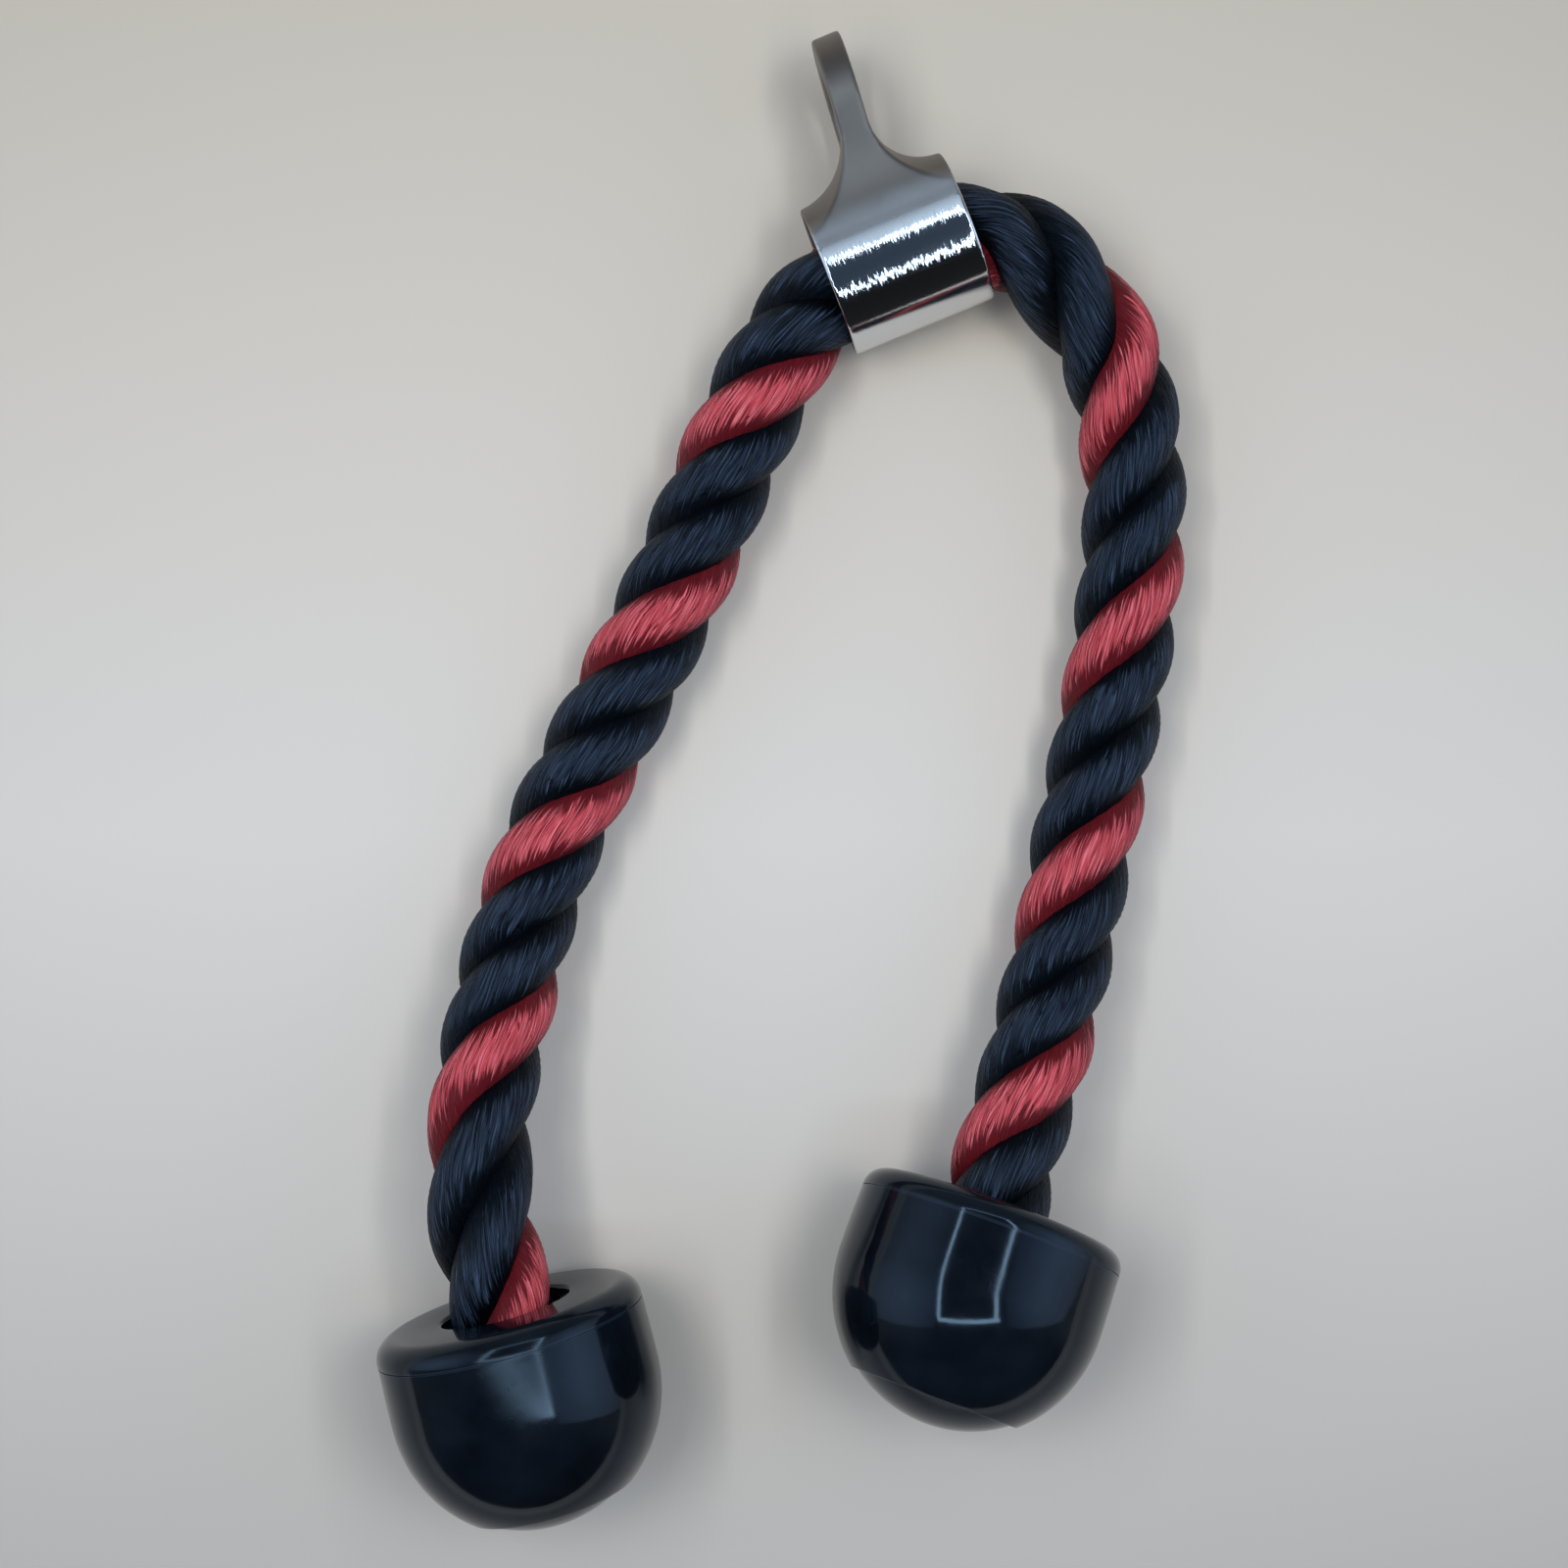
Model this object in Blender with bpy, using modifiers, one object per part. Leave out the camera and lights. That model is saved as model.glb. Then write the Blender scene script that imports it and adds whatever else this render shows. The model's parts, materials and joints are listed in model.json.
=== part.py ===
"""Triceps rope: one thick rope through a cast eye fitting, with a stopper on each end.

Lengths are in metres, angles in degrees, and +Z is up. The rope lies on the floor, z = 0, as it
is left after use: the fitting lies on its side and both legs run towards -Y. The layout is drawn
about its own centre, and the empty "layout" moves it so that the origin is below the middle.
"""

import math

import bmesh
import bpy
from mathutils import Matrix, Vector

# Gaps and modelling allowances
CONTACT_GAP = 0.0003
CUT_OVERRUN = 0.002
WELD_DISTANCE = 0.00001
SHARP_ANGLE = 32.0

# Rope
ROPE_DIAMETER = 0.025
BEND_POINT_SPACING = 0.005
LEG_POINT_SPACING = 0.025
END_RUN = 0.0015
ROUTE_SAMPLE = 0.0005
TUBE_RESOLUTION = 4

# Eye fitting: the collar that holds the rope, and the flat ring that the snap hook takes
BORE_PLAY = 0.0015
COLLAR_WALL = 0.004
COLLAR_LENGTH = 0.0355
MOUTH_RIM = 0.001
MOUTH_FLARE_LENGTH = 0.010
RING_DIAMETER = 0.036
RING_THICKNESS = 0.007
RING_RISE = 0.0363
EYE_HOLE_DIAMETER = 0.020
EYE_EDGE_ROUND = 0.001
RING_LEAN = 4.5
NECK_BLEND_RADIUS = 0.040
SHOULDER_LAND = 0.0002
MIDDLE_RISE = 0.0009
MOUTH_CLEARANCE = 0.0008

# Stopper: lid, cup and bottom cap, turned about the rope's end; heights are from the seam
STOPPER_DIAMETER = 0.063
SIDE_SWELL = 0.0002
WIDEST_DEPTH = 0.0145
CUP_DEPTH = 0.047
WALL = 0.003
LID_SKIRT = 0.0005
LID_EDGE_ROUND = 0.0048
LID_PLATE = 0.004
ROPE_HOLE_PLAY = 0.0025
HOLE_EDGE_ROUND = 0.001
SPIGOT_DEPTH = 0.004
SPIGOT_WALL = 0.002
CAP_DIAMETER = 0.040
CAP_LAND = 0.003
CAP_SPIGOT_HEIGHT = 0.005

# Ferrule and washer, which hold the stopper on the rope's end
WASHER_ROOM = 0.004
WASHER_PLAY = 0.0005
WASHER_THICKNESS = 0.002
FERRULE_LENGTH = 0.020
FERRULE_WALL = 0.003
ROPE_END_PROUD = 0.002

# Round pieces
STOPPER_STEPS = 36
FERRULE_STEPS = 24
BORE_STEPS = 40
HOLE_STEPS = 32
COLLAR_ARC_STEPS = 34
RING_ARC_STEPS = 26
BLEND_ARC_STEPS = 8
FILLET_STEPS = 10
FLARE_STEPS = 4
DOME_STEPS = 8
SIDE_STEPS = 3
EDGE_STEPS = 5
SMALL_EDGE_STEPS = 3

# Layout: the collar's place is measured from the layout's zero, the stoppers' from the collar's
LAYOUT_CENTRE = (-0.00828, 0.00283)
COLLAR_PLACE = (0.0269, 0.1255)
COLLAR_YAW = 21.6
COLLAR_PITCH = 4.0
STOPPER_OFFSETS = {"left": (-0.0903, -0.2517), "right": (0.0208, -0.2293)}
STOPPER_HEADINGS = {"left": -75.9, "right": -110.6}
STOPPER_TILTS = {"left": 0.0, "right": 12.9}
BEND_LENGTHS = {"left": 0.043, "right": 0.078}
MOUTH_SIDES = {"left": -1, "right": 1}

# Centre line of each free leg, from the collar's mouth to the stopper, measured from the
# collar's place and from the floor
ROUTES = {
    "left": [
        (-0.0213, -0.0146, 0.0173),
        (-0.0256, -0.0199, 0.0166),
        (-0.0293, -0.0258, 0.0159),
        (-0.0325, -0.0321, 0.0152),
        (-0.0385, -0.0445, 0.0140),
        (-0.0468, -0.0641, 0.0130),
        (-0.0554, -0.0835, 0.0127),
        (-0.0647, -0.1023, 0.0126),
        (-0.0746, -0.1219, 0.0128),
        (-0.0829, -0.1399, 0.0134),
        (-0.0895, -0.1595, 0.0152),
        (-0.0937, -0.1777, 0.0188),
        (-0.0967, -0.1937, 0.0232),
        (-0.0980, -0.2079, 0.0272),
        (-0.0978, -0.2191, 0.0296),
        (-0.0968, -0.2284, 0.0309),
        (-0.0948, -0.2370, 0.0314),
    ],
    "right": [
        (0.0233, 0.0040, 0.0206),
        (0.0291, 0.0016, 0.0202),
        (0.0349, -0.0023, 0.0194),
        (0.0406, -0.0081, 0.0182),
        (0.0459, -0.0147, 0.0169),
        (0.0507, -0.0217, 0.0157),
        (0.0537, -0.0305, 0.0147),
        (0.0558, -0.0409, 0.0138),
        (0.0569, -0.0525, 0.0132),
        (0.0570, -0.0655, 0.0128),
        (0.0557, -0.0809, 0.0126),
        (0.0529, -0.0997, 0.0126),
        (0.0489, -0.1207, 0.0128),
        (0.0444, -0.1418, 0.0138),
        (0.0400, -0.1629, 0.0160),
        (0.0353, -0.1811, 0.0193),
        (0.0309, -0.1963, 0.0228),
        (0.0269, -0.2075, 0.0254),
        (0.0244, -0.2153, 0.0272),
    ],
}

# Colour, roughness and metallic value of each material
MATERIALS = {
    "chrome": ((0.62, 0.63, 0.64), 0.12, 1.0),
    "rope_black": ((0.012, 0.016, 0.024), 0.55, 0.0),
    "stopper_black": ((0.010, 0.011, 0.013), 0.18, 0.0),
    "steel": ((0.42, 0.43, 0.44), 0.35, 1.0),
}


def radius(diameter):
    return diameter / 2


def arc(centre, arc_radius, start, end, steps):
    """Points of a circular arc, both ends included; angles in radians."""
    angles = [start + (end - start) * step / steps for step in range(steps + 1)]
    return [
        (centre[0] + arc_radius * math.cos(angle), centre[1] + arc_radius * math.sin(angle))
        for angle in angles
    ]


def clear_scene():
    for scene_object in list(bpy.data.objects):
        bpy.data.objects.remove(scene_object, do_unlink=True)


def new_collection(name):
    collection = bpy.data.collections.new(name)
    bpy.context.scene.collection.children.link(collection)
    return collection


def make_material(name):
    colour, roughness, metallic = MATERIALS[name]
    material = bpy.data.materials.new(name)
    material.use_nodes = True
    shader = material.node_tree.nodes["Principled BSDF"]
    shader.inputs["Base Color"].default_value = (*colour, 1)
    shader.inputs["Roughness"].default_value = roughness
    shader.inputs["Metallic"].default_value = metallic
    return material


def new_object(name, data, collection, parent=None, material=None):
    made = bpy.data.objects.new(name, data)
    collection.objects.link(made)
    made.parent = parent
    if material is not None:
        data.materials.append(material)
    return made


def new_empty(name, collection, parent, matrix):
    empty = new_object(name, None, collection, parent)
    empty.matrix_local = matrix
    return empty


def evaluated_mesh(source):
    """The object's mesh as its modifiers or its curve settings make it."""
    depsgraph = bpy.context.evaluated_depsgraph_get()
    depsgraph.update()
    return bpy.data.meshes.new_from_object(source.evaluated_get(depsgraph))


def shade_round(mesh):
    mesh.shade_smooth()
    mesh.set_sharp_from_angle(angle=math.radians(SHARP_ANGLE))


def freeze(made):
    """Replace an object's mesh by its evaluated one, shaded smooth across shallow edges."""
    mesh = evaluated_mesh(made)
    made.modifiers.clear()
    made.data = mesh
    shade_round(mesh)
    return made


def turned(name, profile, steps, collection, parent, material=None, closed=True):
    """A profile of (radius, height) points, outer side first and downwards, spun about Z."""
    count = len(profile)
    edges = [(index, index + 1) for index in range(count - 1)]
    if closed:
        edges.append((count - 1, 0))
    mesh = bpy.data.meshes.new(name)
    mesh.from_pydata([(across, 0, height) for across, height in profile], edges, [])
    made = new_object(name, mesh, collection, parent, material)
    screw = made.modifiers.new("turn", "SCREW")
    screw.axis = "Z"
    screw.angle = math.tau
    screw.steps = steps
    screw.render_steps = steps
    screw.use_merge_vertices = True
    screw.merge_threshold = WELD_DISTANCE
    screw.use_smooth_shade = True
    return made


def outline_solid(name, points, thickness, collection, parent, material):
    """A flat closed outline, extruded by half the thickness to each side, as a welded mesh."""
    outline = bpy.data.curves.new(name + "_outline", "CURVE")
    outline.dimensions = "2D"
    outline.fill_mode = "BOTH"
    outline.extrude = thickness / 2
    spline = outline.splines.new("POLY")
    spline.points.add(len(points) - 1)
    for point, (across, along) in zip(spline.points, points):
        point.co = (across, along, 0, 1)
    spline.use_cyclic_u = True
    drawn = new_object(name + "_outline", outline, collection)
    mesh = evaluated_mesh(drawn)
    bpy.data.objects.remove(drawn)
    editing = bmesh.new()
    editing.from_mesh(mesh)
    bmesh.ops.remove_doubles(editing, verts=editing.verts, dist=WELD_DISTANCE)
    bmesh.ops.recalc_face_normals(editing, faces=editing.faces)
    editing.to_mesh(mesh)
    editing.free()
    return new_object(name, mesh, collection, parent, material)


def hide_cutter(cutter):
    cutter.hide_render = True
    cutter.display_type = "WIRE"


def cut(target, cutter, operation):
    boolean = target.modifiers.new(cutter.name, "BOOLEAN")
    boolean.operation = operation
    boolean.solver = "EXACT"
    boolean.object = cutter


# Eye fitting


def bore_radius():
    return radius(ROPE_DIAMETER) + BORE_PLAY


def collar_radius():
    return bore_radius() + COLLAR_WALL


def mouth_radius():
    return collar_radius() - MOUTH_RIM


def keyhole_outline():
    """Collar circle and ring circle joined by hollow blends, seen along the bore."""
    ring_radius = radius(RING_DIAMETER)
    to_collar = collar_radius() + NECK_BLEND_RADIUS
    to_ring = ring_radius + NECK_BLEND_RADIUS
    along = (RING_RISE**2 + to_collar**2 - to_ring**2) / (2 * RING_RISE)
    across = math.sqrt(to_collar**2 - along**2)
    collar_angle = math.atan2(across, along)
    ring_angle = math.atan2(across, along - RING_RISE)
    ring_centre = (RING_RISE, 0)
    collar_arc = arc(
        (0, 0), collar_radius(), collar_angle, math.tau - collar_angle, COLLAR_ARC_STEPS
    )
    low_blend = arc(
        (along, -across), NECK_BLEND_RADIUS, math.pi - collar_angle, math.pi - ring_angle,
        BLEND_ARC_STEPS,
    )
    ring_arc = arc(ring_centre, ring_radius, -ring_angle, ring_angle, RING_ARC_STEPS)
    high_blend = arc(
        (along, across), NECK_BLEND_RADIUS, ring_angle - math.pi, collar_angle - math.pi,
        BLEND_ARC_STEPS,
    )
    return collar_arc[:-1] + low_blend[:-1] + ring_arc[:-1] + high_blend[:-1]


def saddle_profile():
    """Collar's ends and the hollow fillets from them to the flat ring, about the bore's axis."""
    shoulder_radius = collar_radius() + SHOULDER_LAND
    half_length = COLLAR_LENGTH / 2
    half_ring = RING_THICKNESS / 2
    reach = RING_RISE + radius(RING_DIAMETER) + CUT_OVERRUN
    fillet_radius = half_length - half_ring
    fillet_centre = (shoulder_radius + fillet_radius, half_length)
    fillet = arc(fillet_centre, fillet_radius, math.pi, 1.5 * math.pi, FILLET_STEPS)
    top = [(0, half_length)] + fillet + [(reach, half_ring)]
    bottom = [(across, -height) for across, height in reversed(top)]
    return top + bottom


def bore_profile():
    """Rope bore, opening like a trumpet at both mouths."""
    flare = mouth_radius() - bore_radius()
    half_length = COLLAR_LENGTH / 2
    mouth = []
    for step in range(FLARE_STEPS + 1):
        share = step / FLARE_STEPS
        depth = MOUTH_FLARE_LENGTH * share
        mouth.append((bore_radius() + flare * (1 - share) ** 2, half_length - depth))
    beyond = half_length + CUT_OVERRUN
    top = [(0, beyond), (mouth_radius(), beyond)] + mouth
    bottom = [(across, -height) for across, height in reversed(top)]
    return top + bottom


def eye_hole_profile():
    """Hole of the ring, with rounded edges on both faces."""
    hole_radius = radius(EYE_HOLE_DIAMETER)
    half_ring = RING_THICKNESS / 2
    edge_radius = hole_radius + EYE_EDGE_ROUND
    edge_centre = (edge_radius, half_ring - EYE_EDGE_ROUND)
    edge = arc(edge_centre, EYE_EDGE_ROUND, math.pi / 2, math.pi, SMALL_EDGE_STEPS)
    beyond = half_ring + CUT_OVERRUN
    top = [(0, beyond), (edge_radius, beyond)] + edge
    bottom = [(across, -height) for across, height in reversed(top)]
    return top + bottom


def ring_shift(rise):
    """How far the leaning ring is off the collar's middle, at a rise above the bore."""
    return math.tan(math.radians(RING_LEAN)) * max(0, rise - collar_radius())


def make_eye_fitting(collection, cutters, frame, material):
    blank_length = COLLAR_LENGTH + 2 * CUT_OVERRUN
    keyhole = outline_solid(
        "eye_fitting", keyhole_outline(), blank_length, collection, frame, material
    )
    stand_on_edge = Matrix(((0, 0, 1, 0), (1, 0, 0, 0), (0, 1, 0, 0), (0, 0, 0, 1)))
    keyhole.data.transform(stand_on_edge)
    saddle = turned("saddle_cutter", saddle_profile(), BORE_STEPS, cutters, frame, closed=False)
    bore = turned("bore_cutter", bore_profile(), BORE_STEPS, cutters, frame, closed=False)
    hole = turned("eye_hole_cutter", eye_hole_profile(), HOLE_STEPS, cutters, frame, closed=False)
    hole.location = (0, RING_RISE, 0)
    for cutter in (saddle, bore, hole):
        cutter.rotation_euler = (0, math.pi / 2, 0)
        hide_cutter(cutter)
    cut(keyhole, saddle, "INTERSECT")
    cut(keyhole, bore, "DIFFERENCE")
    cut(keyhole, hole, "DIFFERENCE")
    freeze(keyhole)
    for vertex in keyhole.data.vertices:
        vertex.co.x += ring_shift(vertex.co.y)


# Stopper


def seam_radius():
    return radius(STOPPER_DIAMETER) - SIDE_SWELL


def spigot_radius():
    """Outside of the lid's spigot, which drops into the cup."""
    return seam_radius() - WALL - CONTACT_GAP


def lid_height():
    return LID_SKIRT + LID_EDGE_ROUND


def dome_point(angle, wall=0.0):
    """A point of the cup's round bottom, moved inwards by a wall."""
    across = (radius(STOPPER_DIAMETER) - wall) * math.cos(angle)
    fall = (CUP_DEPTH - WIDEST_DEPTH - wall) * math.sin(angle)
    return (across, -WIDEST_DEPTH - fall)


def dome_arc(start, end, steps, wall=0.0):
    angles = [start + (end - start) * step / steps for step in range(steps + 1)]
    return [dome_point(angle, wall) for angle in angles]


def cap_angle():
    """Angle on the dome at which the bottom cap's edge lies."""
    return math.acos(CAP_DIAMETER / STOPPER_DIAMETER)


def cap_seat_radius():
    """Hole in the cup's bottom that takes the cap's spigot."""
    return radius(CAP_DIAMETER) - CAP_LAND


def lid_profile():
    hole_radius = radius(ROPE_DIAMETER) + ROPE_HOLE_PLAY
    inside = lid_height() - LID_PLATE
    edge_centre = (seam_radius() - LID_EDGE_ROUND, lid_height() - LID_EDGE_ROUND)
    hole_centre = (hole_radius + HOLE_EDGE_ROUND, lid_height() - HOLE_EDGE_ROUND)
    edge = arc(edge_centre, LID_EDGE_ROUND, math.pi / 2, 0, EDGE_STEPS)
    hole_edge = arc(hole_centre, HOLE_EDGE_ROUND, math.pi, math.pi / 2, SMALL_EDGE_STEPS)
    return edge + [
        (seam_radius(), CONTACT_GAP),
        (spigot_radius(), CONTACT_GAP),
        (spigot_radius(), -SPIGOT_DEPTH),
        (spigot_radius() - SPIGOT_WALL, -SPIGOT_DEPTH),
        (spigot_radius() - SPIGOT_WALL, inside),
        (hole_radius, inside),
    ] + hole_edge


def cup_profile():
    side = []
    for step in range(SIDE_STEPS):
        share = step / SIDE_STEPS
        swell = SIDE_SWELL * math.sin(share * math.pi / 2)
        side.append((seam_radius() + swell, -WIDEST_DEPTH * share))
    outer = dome_arc(0, cap_angle(), DOME_STEPS)
    seat_angle = math.acos(cap_seat_radius() / (radius(STOPPER_DIAMETER) - WALL))
    inner = dome_arc(seat_angle, 0, DOME_STEPS - 1, WALL)
    seat = [(cap_seat_radius(), dome_point(cap_angle())[1])]
    return side + outer + seat + inner + [(seam_radius() - WALL, 0)]


def cap_profile():
    floor = dome_point(cap_angle())[1]
    plug_radius = cap_seat_radius() - CONTACT_GAP
    plug_top = floor + CAP_SPIGOT_HEIGHT
    bottom = dome_arc(cap_angle(), math.pi / 2, EDGE_STEPS)
    seat = floor - CONTACT_GAP
    flush = [(across, height) for across, height in bottom if height < seat]
    return [
        (0, floor),
        (plug_radius - SPIGOT_WALL, floor),
        (plug_radius - SPIGOT_WALL, plug_top),
        (plug_radius, plug_top),
        (plug_radius, seat),
        (radius(CAP_DIAMETER), seat),
    ] + flush


def washer_top():
    return lid_height() - LID_PLATE - CONTACT_GAP


def ferrule_top():
    return washer_top() - WASHER_THICKNESS - CONTACT_GAP


def washer_profile():
    top = washer_top()
    outer = spigot_radius() - SPIGOT_WALL - WASHER_ROOM
    inner = radius(ROPE_DIAMETER) + WASHER_PLAY
    bottom = top - WASHER_THICKNESS
    return [(outer, top), (outer, bottom), (inner, bottom), (inner, top)]


def ferrule_profile():
    top = ferrule_top()
    inner = radius(ROPE_DIAMETER) + CONTACT_GAP
    outer = inner + FERRULE_WALL
    bottom = top - FERRULE_LENGTH
    return [(outer, top), (outer, bottom), (inner, bottom), (inner, top)]


def rope_end_profile():
    top = ferrule_top()
    outer = radius(ROPE_DIAMETER)
    bottom = top - FERRULE_LENGTH - ROPE_END_PROUD
    return [(0, top), (outer, top), (outer, bottom), (0, bottom)]


def resting_height(tilt):
    """Height of the seam's centre with the stopper on its side, its dome raised by the tilt."""
    skin = lid_profile() + cup_profile() + cap_profile()
    return max(across * math.cos(tilt) + height * math.sin(tilt) for across, height in skin)


def stopper_axis(side):
    """Unit vector from the lid to the dome."""
    heading = math.radians(STOPPER_HEADINGS[side])
    tilt = math.radians(STOPPER_TILTS[side])
    level = math.cos(tilt)
    return Vector((level * math.cos(heading), level * math.sin(heading), math.sin(tilt)))


def from_collar(across, along, height):
    """A place in the layout, measured from the collar's place and from the floor."""
    return Vector((*COLLAR_PLACE, 0)) + Vector((across, along, height))


def stopper_centre(side):
    height = resting_height(math.radians(STOPPER_TILTS[side]))
    return from_collar(*STOPPER_OFFSETS[side], height)


def stopper_matrix(side):
    """Frame with its origin at the seam's centre and its Z axis up the rope."""
    up_rope = -stopper_axis(side)
    across = Vector((0, 0, 1)).cross(up_rope).normalized()
    turn = Matrix((across, up_rope.cross(across), up_rope)).transposed()
    return Matrix.Translation(stopper_centre(side)) @ turn.to_4x4()


def make_stopper(side, collection, frame, materials):
    pieces = [
        ("stopper_lid", lid_profile(), STOPPER_STEPS, True, "stopper_black"),
        ("stopper_cup", cup_profile(), STOPPER_STEPS, True, "stopper_black"),
        ("stopper_cap", cap_profile(), STOPPER_STEPS, False, "stopper_black"),
        ("washer", washer_profile(), FERRULE_STEPS, True, "steel"),
        ("ferrule", ferrule_profile(), FERRULE_STEPS, True, "steel"),
        ("rope_end", rope_end_profile(), FERRULE_STEPS, False, "rope_black"),
    ]
    for piece, profile, steps, closed, material in pieces:
        name = side + "_" + piece
        freeze(turned(name, profile, steps, collection, frame, materials[material], closed))


# Rope


def fitting_matrix():
    """Frame with its origin in the bore's middle, X along the bore and Y towards the ring.

    The collar's low rim and the ring both touch the floor: the pitch lifts the collar's +X end,
    and a small roll lets the ring down.
    """
    pitch = math.radians(COLLAR_PITCH)
    height = collar_radius() * math.cos(pitch) + COLLAR_LENGTH / 2 * math.sin(pitch)
    low_side = RING_THICKNESS / 2 - ring_shift(RING_RISE)
    ring_low = (low_side * math.sin(pitch) - height) / math.cos(pitch)
    roll = math.asin((ring_low + radius(RING_DIAMETER)) / RING_RISE)
    turn = (
        Matrix.Rotation(math.radians(COLLAR_YAW), 4, "Z")
        @ Matrix.Rotation(-pitch, 4, "Y")
        @ Matrix.Rotation(roll, 4, "X")
    )
    return Matrix.Translation((*COLLAR_PLACE, height)) @ turn


def middle_half_angle():
    """Half of the turn of the rope's arc in the collar, which rests on both mouths' lips."""
    lip = mouth_radius() - MOUTH_CLEARANCE
    half_length = COLLAR_LENGTH / 2
    low, high = 0.0, math.pi / 4
    while high - low > WELD_DISTANCE:
        angle = (low + high) / 2
        drop = half_length * math.tan(angle / 2) - MIDDLE_RISE
        if drop + radius(ROPE_DIAMETER) / math.cos(angle) < lip:
            low = angle
        else:
            high = angle
    return low


def middle_point(angle):
    """Point of the rope's arc in the collar, in the fitting's frame."""
    arc_radius = COLLAR_LENGTH / 2 / math.sin(middle_half_angle())
    return Vector((
        arc_radius * math.sin(angle),
        MIDDLE_RISE - arc_radius * (1 - math.cos(angle)),
        0,
    ))


def mouth(side):
    """Where the rope's centre line leaves the collar, and its direction there."""
    sign = MOUTH_SIDES[side]
    half_angle = middle_half_angle()
    place = fitting_matrix() @ middle_point(sign * half_angle)
    outward = Vector((sign * math.cos(half_angle), -math.sin(half_angle), 0))
    return place, fitting_matrix().to_3x3() @ outward


def smooth_line(points, start_direction, end_direction):
    """Close samples of a smooth curve through the points, with the given end directions."""
    gaps = [(after - before).length for before, after in zip(points, points[1:])]
    slopes = [start_direction]
    for index in range(1, len(points) - 1):
        before = (points[index] - points[index - 1]) / gaps[index - 1]
        after = (points[index + 1] - points[index]) / gaps[index]
        blend = gaps[index - 1] + gaps[index]
        slopes.append((before * gaps[index] + after * gaps[index - 1]) / blend)
    slopes.append(end_direction)
    samples = []
    for index, gap in enumerate(gaps):
        steps = max(1, round(gap / ROUTE_SAMPLE))
        for step in range(steps):
            share = step / steps
            start, end = points[index], points[index + 1]
            samples.append(
                start * (2 * share**3 - 3 * share**2 + 1)
                + slopes[index] * gap * (share**3 - 2 * share**2 + share)
                + end * (3 * share**2 - 2 * share**3)
                + slopes[index + 1] * gap * (share**3 - share**2)
            )
    samples.append(points[-1])
    return samples


def line_lengths(line):
    """Distance along a line of points, up to each of them."""
    lengths = [0.0]
    for before, after in zip(line, line[1:]):
        lengths.append(lengths[-1] + (after - before).length)
    return lengths


def stretch(line, start, end, spacing):
    """Evenly spaced points of a line, from one length along it to another."""
    lengths = line_lengths(line)
    count = max(1, round((end - start) / spacing))
    points = []
    index = 0
    for step in range(count + 1):
        wanted = start + (end - start) * step / count
        while index < len(line) - 2 and lengths[index + 1] < wanted:
            index += 1
        share = (wanted - lengths[index]) / (lengths[index + 1] - lengths[index])
        points.append(line[index].lerp(line[index + 1], share))
    return points


def direction_at(line, length):
    """Unit direction of a line at a length along it."""
    before, after = stretch(line, length - ROUTE_SAMPLE, length + ROUTE_SAMPLE, 2 * ROUTE_SAMPLE)
    return (after - before).normalized()


def squared_stretch(line, start, end, spacing):
    """A stretch whose first and last runs are short and true, so that its end faces lie square."""
    first, last = stretch(line, start, end, end - start)
    ahead = direction_at(line, start)
    behind = direction_at(line, end)
    inner = stretch(line, start + spacing, end - spacing, spacing)
    return [first, first + ahead * END_RUN] + inner + [last - behind * END_RUN, last]


def rope_line(side):
    """Centre line from the collar's mouth to the ferrule."""
    place, outward = mouth(side)
    axis = stopper_axis(side)
    ferrule_place = stopper_centre(side) - axis * (ferrule_top() + CONTACT_GAP)
    points = [place] + [from_collar(*point) for point in ROUTES[side]] + [ferrule_place]
    return smooth_line(points, outward, axis)


def tube(name, points, collection, parent, origin, material):
    """A round tube along points, which are given in the layout; origin is its parent's place."""
    curve = bpy.data.curves.new(name, "CURVE")
    curve.dimensions = "3D"
    curve.bevel_depth = radius(ROPE_DIAMETER)
    curve.bevel_resolution = TUBE_RESOLUTION
    curve.use_fill_caps = True
    spline = curve.splines.new("POLY")
    spline.points.add(len(points) - 1)
    for target, point in zip(spline.points, points):
        target.co = (*(point - origin), 1)
    return new_object(name, curve, collection, parent, material)


def flat_turn(from_direction, to_direction):
    """Turn about Z that takes one direction to another, seen from above."""
    start = math.atan2(from_direction.y, from_direction.x)
    end = math.atan2(to_direction.y, to_direction.x)
    return (end - start + math.pi) % math.tau - math.pi


def leg_pivot(side):
    """Axis about which the leg swings level.

    It is the one point about which the leg turns into line with the mouth while the bend's
    length stays the same.
    """
    place, outward = mouth(side)
    line = rope_line(side)
    start, after = stretch(line, BEND_LENGTHS[side], BEND_LENGTHS[side] + ROUTE_SAMPLE, ROUTE_SAMPLE)
    turn = flat_turn(after - start, outward)
    straight = place + outward * BEND_LENGTHS[side]
    middle = (start + straight) / 2
    chord = straight - start
    offset = Vector((-chord.y, chord.x, 0)) / (2 * math.tan(turn / 2))
    return Vector((middle.x + offset.x, middle.y + offset.y, place.z))


def make_middle(collection, frame, material):
    """The stretch of rope in the collar, short of both bends by the contact gap."""
    half_angle = middle_half_angle()
    steps = round(COLLAR_LENGTH / ROUTE_SAMPLE)
    line = [middle_point(half_angle * (2 * step / steps - 1)) for step in range(steps + 1)]
    whole = line_lengths(line)[-1]
    points = squared_stretch(line, CONTACT_GAP, whole - CONTACT_GAP, BEND_POINT_SPACING)
    return tube("rope_middle", points, collection, frame, Vector(), material)


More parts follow.
